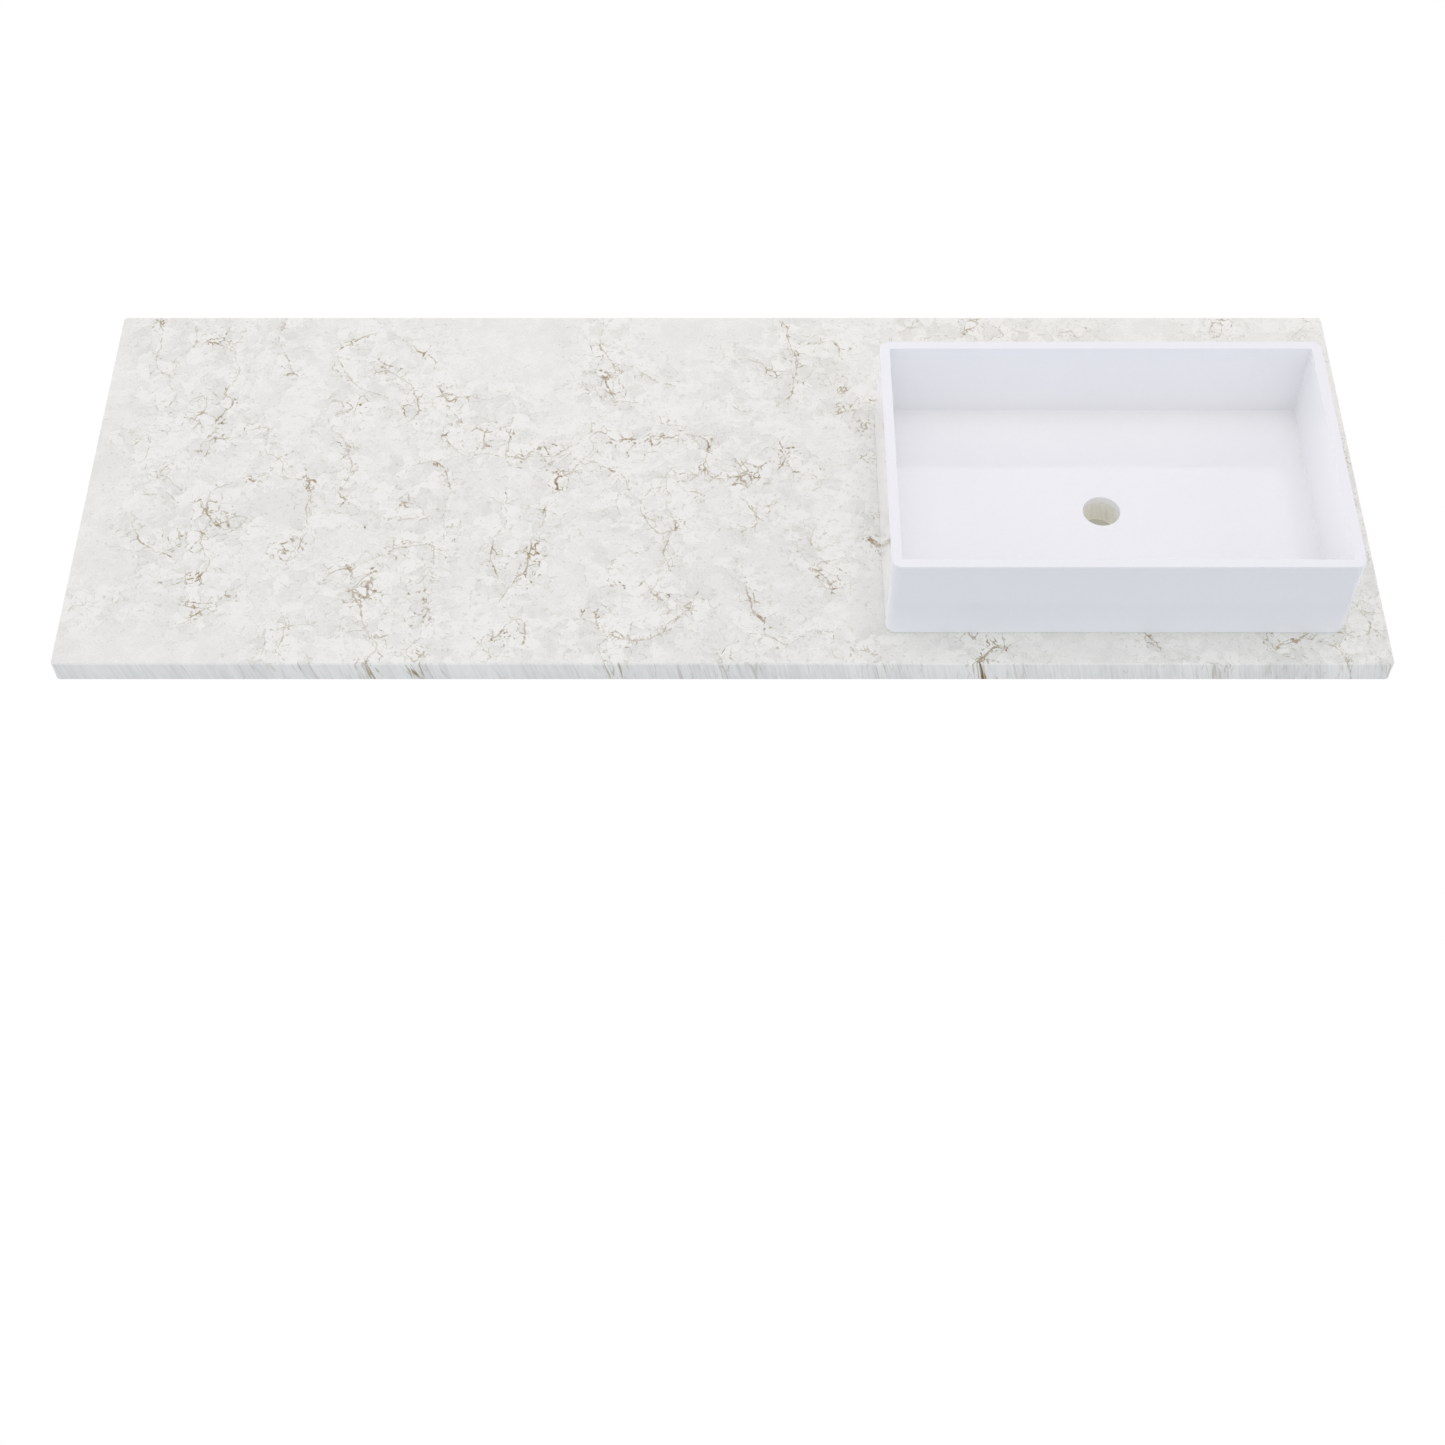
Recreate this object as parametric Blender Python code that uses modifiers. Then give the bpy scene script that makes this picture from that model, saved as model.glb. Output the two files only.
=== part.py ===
"""Vanity sink top: a stone slab with a rectangular basin, built up from bonded sheet, set on it.

Units are metres. +X runs along the slab to the right, +Y runs to the wall behind it, +Z is up.
The origin is at the middle of the slab's underside.
"""

import math

import bmesh
import bpy
from mathutils import Matrix

MM = 0.001

# Stone slab
SLAB_LENGTH = 1549.4 * MM
SLAB_DEPTH = 558.8 * MM
SLAB_THICKNESS = 30.0 * MM
SLAB_CORNER_RADIUS = 5.0 * MM
SLAB_TOP_ARRIS = 2.0 * MM
SLAB_UNDERSIDE_ARRIS = 1.0 * MM

# Basin, outside sizes and its place on the slab
BASIN_LENGTH = 533.0 * MM
BASIN_DEPTH = 350.5 * MM
RIM_ABOVE_SLAB = 121.0 * MM
BASIN_RIGHT_MARGIN = 52.0 * MM
BASIN_FRONT_MARGIN = 45.0 * MM

# Sheet that the basin is made of
SHEET_THICKNESS = 12.0 * MM
BASIN_CORNER_RADIUS = 12.0 * MM
INNER_CORNER_RADIUS = 1.5 * MM
RIM_ARRIS = 0.8 * MM
BOND_GAP = 0.3 * MM

# Fall of the basin floor to the drain
LEVEL_MARGIN = 6.0 * MM
FLOOR_FALL = 1.5 * MM
DRAIN_FLAT_LENGTH = 120.0 * MM
DRAIN_FLAT_DEPTH = 78.0 * MM

# Drain hole
DRAIN_HOLE_DIAMETER = 44.5 * MM
DRAIN_HOLE_ARRIS = 0.5 * MM

# Sealant under the basin
SEALANT_THICKNESS = 0.6 * MM
SEAT_GAP = 0.3 * MM
BEAD_WIDTH = 9.0 * MM
BEAD_INSET = 1.0 * MM
BEAD_CORNER_RADIUS = 2.0 * MM
DRAIN_BEAD_WIDTH = 8.0 * MM
DRAIN_BEAD_INSET = 1.5 * MM

# One overrun serves every cut
CUT_OVERRUN = 1.0 * MM

# Faceting
OUTER_ARC_STEPS = 6
INNER_ARC_STEPS = 2
CORNER_STEPS = 4
ARRIS_STEPS = 2
ROUND_STEPS = 64
SMOOTH_ANGLE = math.radians(35.0)

# An edge counts as level with the top or the underside within this share of the piece's height
LEVEL_SHARE = 0.001
# A face is upright when its normal leans from level by less than this share
UPRIGHT_SHARE = 0.01
# Merging distance as a share of the slab's thickness
MERGE_SHARE = 0.0002

# Places worked out from the sizes above
BASIN_X = SLAB_LENGTH / 2 - BASIN_RIGHT_MARGIN - BASIN_LENGTH / 2
BASIN_Y = -SLAB_DEPTH / 2 + BASIN_FRONT_MARGIN + BASIN_DEPTH / 2
FOOT_LIFT = SEALANT_THICKNESS + 2 * SEAT_GAP
WALL_HEIGHT = RIM_ABOVE_SLAB - FOOT_LIFT
MERGE_DISTANCE = SLAB_THICKNESS * MERGE_SHARE

# Finishes: colour, roughness, metallic
QUARTZ = ("quartz", (0.79, 0.78, 0.76, 1.0), 0.3, 0.0)
SOLID_SURFACE = ("solid_surface", (0.86, 0.86, 0.88, 1.0), 0.45, 0.0)
SEALANT = ("sealant", (0.72, 0.72, 0.70, 1.0), 0.5, 0.0)


def clear_scene():
    """Remove what the scene already holds."""
    for item in list(bpy.context.scene.objects):
        bpy.data.objects.remove(item, do_unlink=True)


def new_collection(name):
    """Make a collection in the scene."""
    collection = bpy.data.collections.new(name)
    bpy.context.scene.collection.children.link(collection)
    return collection


def new_material(finish):
    """Make the Principled material of a finish."""
    name, colour, roughness, metallic = finish
    material = bpy.data.materials.new(name)
    material.use_nodes = True
    shader = material.node_tree.nodes["Principled BSDF"]
    shader.inputs["Base Color"].default_value = colour
    shader.inputs["Roughness"].default_value = roughness
    shader.inputs["Metallic"].default_value = metallic
    return material


def new_empty(name, location, parent, collection):
    """Make an empty that a group of pieces hangs on."""
    empty = bpy.data.objects.new(name, None)
    empty.location = location
    empty.parent = parent
    collection.objects.link(empty)
    return empty


def new_piece(name, bm, finish, parent, collection):
    """Make a piece from a bmesh, with its own material, under its parent."""
    bmesh.ops.recalc_face_normals(bm, faces=bm.faces)
    mesh = bpy.data.meshes.new(name)
    bm.to_mesh(mesh)
    bm.free()
    mesh.materials.append(new_material(finish))
    mesh.shade_smooth()
    mesh.set_sharp_from_angle(angle=SMOOTH_ANGLE)
    piece = bpy.data.objects.new(name, mesh)
    piece.parent = parent
    collection.objects.link(piece)
    return piece


def block_bmesh(length, depth, height):
    """A block standing on the local ground plane."""
    bm = bmesh.new()
    bmesh.ops.create_cube(bm, size=1.0)
    bmesh.ops.scale(bm, vec=(length, depth, height), verts=bm.verts)
    bmesh.ops.translate(bm, vec=(0, 0, height / 2), verts=bm.verts)
    return bm


def round_upright_edges(bm, radius):
    """Round a block's upright edges."""
    upright = [edge for edge in bm.edges if edge.verts[0].co.xy == edge.verts[1].co.xy]
    bmesh.ops.bevel(
        bm, geom=upright, offset=radius, segments=CORNER_STEPS, profile=0.5, affect="EDGES"
    )


def level_edges(bm, height, at_top):
    """The edges that lie level with the top or the underside of a piece of this height."""
    level = height if at_top else 0
    reach = height * LEVEL_SHARE
    return [edge for edge in bm.edges if all(abs(v.co.z - level) < reach for v in edge.verts)]


def ease_edges(bm, edges, size):
    """Give edges their small round arris."""
    bmesh.ops.bevel(
        bm, geom=edges, offset=size, segments=ARRIS_STEPS, profile=0.5, affect="EDGES"
    )


def arc_points(centre, radius, first, last, steps):
    """Points of an arc, from one angle to another."""
    angles = [first + (last - first) * step / steps for step in range(steps + 1)]
    return [
        (centre[0] + radius * math.cos(angle), centre[1] + radius * math.sin(angle))
        for angle in angles
    ]


def rounded_rectangle(length, depth, radius):
    """Outline of a rectangle with rounded corners, round the local origin."""
    corners = ((1, 1, 0.0), (-1, 1, 0.5), (-1, -1, 1.0), (1, -1, 1.5))
    points = []
    for side_x, side_y, half_turns in corners:
        centre = (side_x * (length / 2 - radius), side_y * (depth / 2 - radius))
        first = half_turns * math.pi
        points += arc_points(centre, radius, first, first + math.pi / 2, CORNER_STEPS)
    return points


def circle(diameter):
    """Outline of a circle round the local origin."""
    points = arc_points((0, 0), diameter / 2, 0.0, 2 * math.pi, ROUND_STEPS)
    return points[:-1]


def plate_bmesh(outlines, thickness):
    """A flat plate cut from sheet, standing on the local ground plane.

    The first outline is its edge, and each further one is a hole in it.
    """
    curve = bpy.data.curves.new("plate_outline", "CURVE")
    curve.dimensions = "2D"
    curve.fill_mode = "BOTH"
    curve.extrude = thickness / 2
    for outline in outlines:
        spline = curve.splines.new("POLY")
        spline.points.add(len(outline) - 1)
        for point, (x, y) in zip(spline.points, outline):
            point.co = (x, y, 0, 1)
        spline.use_cyclic_u = True
    drawn = bpy.data.objects.new("plate_outline", curve)
    bpy.context.scene.collection.objects.link(drawn)
    graph = bpy.context.evaluated_depsgraph_get()
    mesh = bpy.data.meshes.new_from_object(drawn.evaluated_get(graph))
    bm = bmesh.new()
    bm.from_mesh(mesh)
    bmesh.ops.remove_doubles(bm, verts=bm.verts, dist=MERGE_DISTANCE)
    bmesh.ops.dissolve_limit(bm, angle_limit=math.radians(0.1), verts=bm.verts, edges=bm.edges)
    bmesh.ops.translate(bm, vec=(0, 0, thickness / 2), verts=bm.verts)
    bpy.data.objects.remove(drawn, do_unlink=True)
    bpy.data.curves.remove(curve)
    bpy.data.meshes.remove(mesh)
    return bm


def wall_outline(length):
    """Plan of one basin wall, mitred at both ends, with its outer face on the local X axis.

    Each end turns the basin's outer corner as far as the mitre, and half of the bond gap is
    kept off the mitre line.
    """
    half = length / 2
    mitre = math.radians(225.0)
    straight = math.radians(270.0)
    outer_radius = BASIN_CORNER_RADIUS
    inner_radius = INNER_CORNER_RADIUS
    outer_start = mitre + math.asin(BOND_GAP / 2 / outer_radius)
    inner_start = mitre + math.asin(BOND_GAP / 2 / inner_radius)
    outer_centre = (outer_radius - half, outer_radius)
    inner_centre = (SHEET_THICKNESS + inner_radius - half, SHEET_THICKNESS + inner_radius)
    outer = arc_points(outer_centre, outer_radius, outer_start, straight, OUTER_ARC_STEPS)
    inner = arc_points(inner_centre, inner_radius, inner_start, straight, INNER_ARC_STEPS)
    left = inner[::-1] + outer
    right = [(-x, y) for x, y in reversed(left)]
    return left + right


def wall_arris_edges(bm):
    """The edges of a wall's rim and foot that show, which leaves out the mitres' own."""
    found = []
    for edge in level_edges(bm, WALL_HEIGHT, True) + level_edges(bm, WALL_HEIGHT, False):
        face = next(f for f in edge.link_faces if abs(f.normal.z) < UPRIGHT_SHARE)
        at_rim = edge.verts[0].co.z > WALL_HEIGHT / 2
        middle_x = face.calc_center_median().x
        is_mitre = face.normal.y > UPRIGHT_SHARE and face.normal.x * middle_x > 0
        is_outside = face.normal.y < -UPRIGHT_SHARE
        if not is_mitre and (at_rim or is_outside):
            found.append(edge)
    return found


def make_slab(top, parts, cutters):
    """The stone slab with its drain hole."""
    bm = block_bmesh(SLAB_LENGTH, SLAB_DEPTH, SLAB_THICKNESS)
    round_upright_edges(bm, SLAB_CORNER_RADIUS)
    ease_edges(bm, level_edges(bm, SLAB_THICKNESS, True), SLAB_TOP_ARRIS)
    ease_edges(bm, level_edges(bm, SLAB_THICKNESS, False), SLAB_UNDERSIDE_ARRIS)
    slab = new_piece("countertop_slab", bm, QUARTZ, top, parts)
    hole = drain_cutter("slab_drain_cutter", SLAB_THICKNESS, cutters)
    hole.location = (BASIN_X, BASIN_Y, 0)
    hole.parent = top
    cut(slab, hole)
    return slab


def drain_cutter(name, height, cutters):
    """A turned cutter that drills the drain hole through a plate and eases both its edges."""
    radius = DRAIN_HOLE_DIAMETER / 2
    mouth = radius + DRAIN_HOLE_ARRIS + CUT_OVERRUN
    profile = (
        (0, height + CUT_OVERRUN),
        (mouth, height + CUT_OVERRUN),
        (radius, height - DRAIN_HOLE_ARRIS),
        (radius, DRAIN_HOLE_ARRIS),
        (mouth, -CUT_OVERRUN),
        (0, -CUT_OVERRUN),
    )
    bm = bmesh.new()
    verts = [bm.verts.new((x, 0, z)) for x, z in profile]
    for start, end in zip(verts, verts[1:]):
        bm.edges.new((start, end))
    mesh = bpy.data.meshes.new(name)
    bm.to_mesh(mesh)
    bm.free()
    cutter = bpy.data.objects.new(name, mesh)
    screw = cutter.modifiers.new("turn", "SCREW")
    screw.steps = ROUND_STEPS
    screw.render_steps = ROUND_STEPS
    screw.use_merge_vertices = True
    screw.merge_threshold = MERGE_DISTANCE
    return as_cutter(cutter, cutters)


def as_cutter(cutter, cutters):
    """Mark an object as a cutter, which only shapes other pieces."""
    cutter.hide_render = True
    cutter.display_type = "WIRE"
    cutters.objects.link(cutter)
    return cutter


def cut(piece, cutter):
    """Cut a piece with a cutter."""
    boolean = piece.modifiers.new("cut_" + cutter.name, "BOOLEAN")
    boolean.operation = "DIFFERENCE"
    boolean.solver = "EXACT"
    boolean.object = cutter


def make_walls(basin, parts):
    """The four mitred walls, each from the same outline at its own length."""
    sides = (
        ("basin_front_wall", BASIN_LENGTH, BASIN_DEPTH, 0.0),
        ("basin_right_wall", BASIN_DEPTH, BASIN_LENGTH, 0.5),
        ("basin_back_wall", BASIN_LENGTH, BASIN_DEPTH, 1.0),
        ("basin_left_wall", BASIN_DEPTH, BASIN_LENGTH, 1.5),
    )
    for name, length, across, half_turns in sides:
        bm = plate_bmesh([wall_outline(length)], WALL_HEIGHT)
        ease_edges(bm, wall_arris_edges(bm), RIM_ARRIS)
        wall = new_piece(name, bm, SOLID_SURFACE, basin, parts)
        turn = Matrix.Rotation(half_turns * math.pi, 4, "Z")
        wall.matrix_local = turn @ Matrix.Translation((0, -across / 2, 0))


def make_floor(basin, parts, cutters):
    """The basin's floor, let in between the walls, falling to a flat round the drain hole."""
    length = BASIN_LENGTH - 2 * (SHEET_THICKNESS + BOND_GAP)
    depth = BASIN_DEPTH - 2 * (SHEET_THICKNESS + BOND_GAP)
    bm = block_bmesh(length, depth, SHEET_THICKNESS)
    round_upright_edges(bm, INNER_CORNER_RADIUS)
    floor = new_piece("basin_floor", bm, SOLID_SURFACE, basin, parts)
    cut(floor, fall_cutter(length, depth, basin, cutters))
    hole = drain_cutter("floor_drain_cutter", SHEET_THICKNESS - FLOOR_FALL, cutters)
    hole.parent = basin
    cut(floor, hole)


def fall_cutter(length, depth, basin, cutters):
    """A block with sloping sides that planes the floor down towards the drain."""
    rise = FLOOR_FALL + CUT_OVERRUN
    slope_x = (length / 2 - LEVEL_MARGIN - DRAIN_FLAT_LENGTH / 2) / FLOOR_FALL
    slope_y = (depth / 2 - LEVEL_MARGIN - DRAIN_FLAT_DEPTH / 2) / FLOOR_FALL
    bm = block_bmesh(DRAIN_FLAT_LENGTH, DRAIN_FLAT_DEPTH, rise)
    for vert in bm.verts:
        if vert.co.z > rise / 2:
            vert.co.x += math.copysign(slope_x * rise, vert.co.x)
            vert.co.y += math.copysign(slope_y * rise, vert.co.y)
    mesh = bpy.data.meshes.new("floor_fall_cutter")
    bm.to_mesh(mesh)
    bm.free()
    cutter = bpy.data.objects.new("floor_fall_cutter", mesh)
    cutter.location = (0, 0, SHEET_THICKNESS - FLOOR_FALL)
    cutter.parent = basin
    return as_cutter(cutter, cutters)


def make_seals(top, parts):
    """The sealant bead under the basin's foot and the ring round the drain hole."""
    outer_length = BASIN_LENGTH - 2 * BEAD_INSET
    outer_depth = BASIN_DEPTH - 2 * BEAD_INSET
    outer_radius = BASIN_CORNER_RADIUS - BEAD_INSET
    inner_length = outer_length - 2 * BEAD_WIDTH
    inner_depth = outer_depth - 2 * BEAD_WIDTH
    bead = (
        rounded_rectangle(outer_length, outer_depth, outer_radius),
        rounded_rectangle(inner_length, inner_depth, BEAD_CORNER_RADIUS),
    )
    ring_bore = DRAIN_HOLE_DIAMETER + 2 * (DRAIN_HOLE_ARRIS + DRAIN_BEAD_INSET)
    ring = (circle(ring_bore + 2 * DRAIN_BEAD_WIDTH), circle(ring_bore))
    for name, outlines in (("basin_seal", bead), ("drain_seal", ring)):
        bm = plate_bmesh(outlines, SEALANT_THICKNESS)
        seal = new_piece(name, bm, SEALANT, top, parts)
        seal.location = (BASIN_X, BASIN_Y, SLAB_THICKNESS + SEAT_GAP)


def main():
    """Build the vanity sink top."""
    clear_scene()
    parts = new_collection("vanity_sink_top")
    cutters = new_collection("cutters")
    top = new_empty("top_origin", (0, 0, 0), None, parts)
    foot_z = SLAB_THICKNESS + FOOT_LIFT
    basin = new_empty("basin_origin", (BASIN_X, BASIN_Y, foot_z), top, parts)
    make_slab(top, parts, cutters)
    make_seals(top, parts)
    make_floor(basin, parts, cutters)
    make_walls(basin, parts)


main()
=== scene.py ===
"""The looks of a stone vanity top with a rectangular basin standing on it.

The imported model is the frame. The slab, the basin and its two joints of sealant are modelled over the CAD
solids that they stand for, and are finished in veined quartz, white solid surface and silicone. Lengths are
in metres in the frame's axes: +X along the slab to the right, +Y to the wall behind it, +Z up.
"""

import logging
import math
from dataclasses import dataclass
from enum import Enum
from typing import Callable, Iterable, Sequence

import bmesh
import bpy
import numpy as np
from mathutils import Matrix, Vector, noise


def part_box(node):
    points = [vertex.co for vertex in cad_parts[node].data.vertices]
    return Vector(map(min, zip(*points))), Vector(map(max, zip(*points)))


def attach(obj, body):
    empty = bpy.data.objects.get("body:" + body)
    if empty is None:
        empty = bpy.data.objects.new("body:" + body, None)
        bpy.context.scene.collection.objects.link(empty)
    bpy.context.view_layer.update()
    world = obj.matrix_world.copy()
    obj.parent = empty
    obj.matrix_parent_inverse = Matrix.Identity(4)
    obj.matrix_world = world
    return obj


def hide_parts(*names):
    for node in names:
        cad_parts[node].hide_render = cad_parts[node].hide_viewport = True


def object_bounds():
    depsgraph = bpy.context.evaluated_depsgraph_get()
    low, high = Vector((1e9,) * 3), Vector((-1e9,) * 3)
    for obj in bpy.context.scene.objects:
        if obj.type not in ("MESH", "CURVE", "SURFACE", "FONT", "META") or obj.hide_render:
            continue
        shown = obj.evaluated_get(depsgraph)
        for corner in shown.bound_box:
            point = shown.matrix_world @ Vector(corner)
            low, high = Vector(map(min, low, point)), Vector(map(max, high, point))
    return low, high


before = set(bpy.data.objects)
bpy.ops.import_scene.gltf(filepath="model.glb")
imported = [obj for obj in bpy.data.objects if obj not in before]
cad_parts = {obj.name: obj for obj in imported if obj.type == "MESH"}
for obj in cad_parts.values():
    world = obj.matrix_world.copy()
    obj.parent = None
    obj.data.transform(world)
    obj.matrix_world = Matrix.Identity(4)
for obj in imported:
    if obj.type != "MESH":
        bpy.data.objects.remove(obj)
CAD_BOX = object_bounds()

LOG = logging.getLogger("vanity_top")
MM = 0.001
BODY = "root"
ALONG = Vector((1.0, 0.0, 0.0))
ACROSS = Vector((0.0, 1.0, 0.0))
SHARP = math.radians(30.0)
VEIN_FIELD = "vein"
PEBBLE_FIELD = "pebble"
VEIN_REACH = 60 * MM
VEIN_SEED = 1
TOOL_PROUD = 5 * MM
FLARE_START = 0.97
SHEET_THICKNESS = 12 * MM
VEIN_LEAN = 0.22
NOISE_ROUGHNESS = 0.55
LEVEL_NORMAL = 0.99
SLOPED_NORMAL = 0.6
UPRIGHT_SHARE = 0.9
SAME_HEIGHT = 0.01 * MM
MERGE_GAP = 0.005 * MM

Colour = tuple[float, float, float]
Triple = tuple[float, float, float]
Socket = bpy.types.NodeSocket
Tree = bpy.types.NodeTree
Piece = bpy.types.Object


class StoneCut(Enum):
    """The ways in which a face of the slab was cut and finished; the edge and the bore also carry painted
    light in their tints.
    """

    POLISHED = "quartz_polished_top"
    EDGE = "quartz_polished_edge"
    SAWN = "quartz_sawn_underside"
    BORED = "quartz_bored_hole"


class ResinFace(Enum):
    """The basin's faces, which are finished in different ways: the rim's darker colour is painted shade, and
    the lighter colour of the fillet at the floor is a painted highlight.
    """

    SHEET = "white_solid_surface"
    RIM = "sanded_rim"
    SEAM = "seam_adhesive"


class Pick(Enum):
    """The parts of a mesh that can be picked in edit mode."""

    FACE = "FACE"
    EDGE = "EDGE"


class LampKind(Enum):
    """The kinds of lamp that light the studio."""

    SOFTBOX = "AREA"
    WINDOW = "SUN"


@dataclass(frozen=True)
class VeinRoute:
    """One vein of the quartz: how strongly it shows, and the points in millimetres that it passes."""

    strength: float
    points: tuple[tuple[int, int], ...]


@dataclass(frozen=True)
class Pebble:
    """A smooth grey patch of the quartz: its middle and half sizes in millimetres, and how grey it is."""

    middle: tuple[int, int]
    reach: tuple[int, int]
    depth: float


PEBBLE_PLAN: tuple[Pebble, ...] = (
    Pebble((-530, -39), (35, 29), 1.0), Pebble((-754, 22), (28, 28), 0.5),
    Pebble((-696, -50), (25, 36), 0.35), Pebble((-615, 46), (30, 20), 0.3),
    Pebble((-409, 140), (19, 39), 0.2), Pebble((-275, 9), (11, 37), 0.5),
    Pebble((-287, 146), (14, 29), 0.3), Pebble((-471, -109), (27, 17), 0.2),
    Pebble((-601, -33), (20, 30), 0.3), Pebble((-519, 46), (14, 14), 0.4),
    Pebble((-15, -30), (26, 40), 0.35), Pebble((120, 190), (30, 22), 0.3),
    Pebble((560, 262), (34, 13), 0.35), Pebble((740, -215), (16, 20), 0.4),
    Pebble((600, -258), (28, 12), 0.3))

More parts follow.
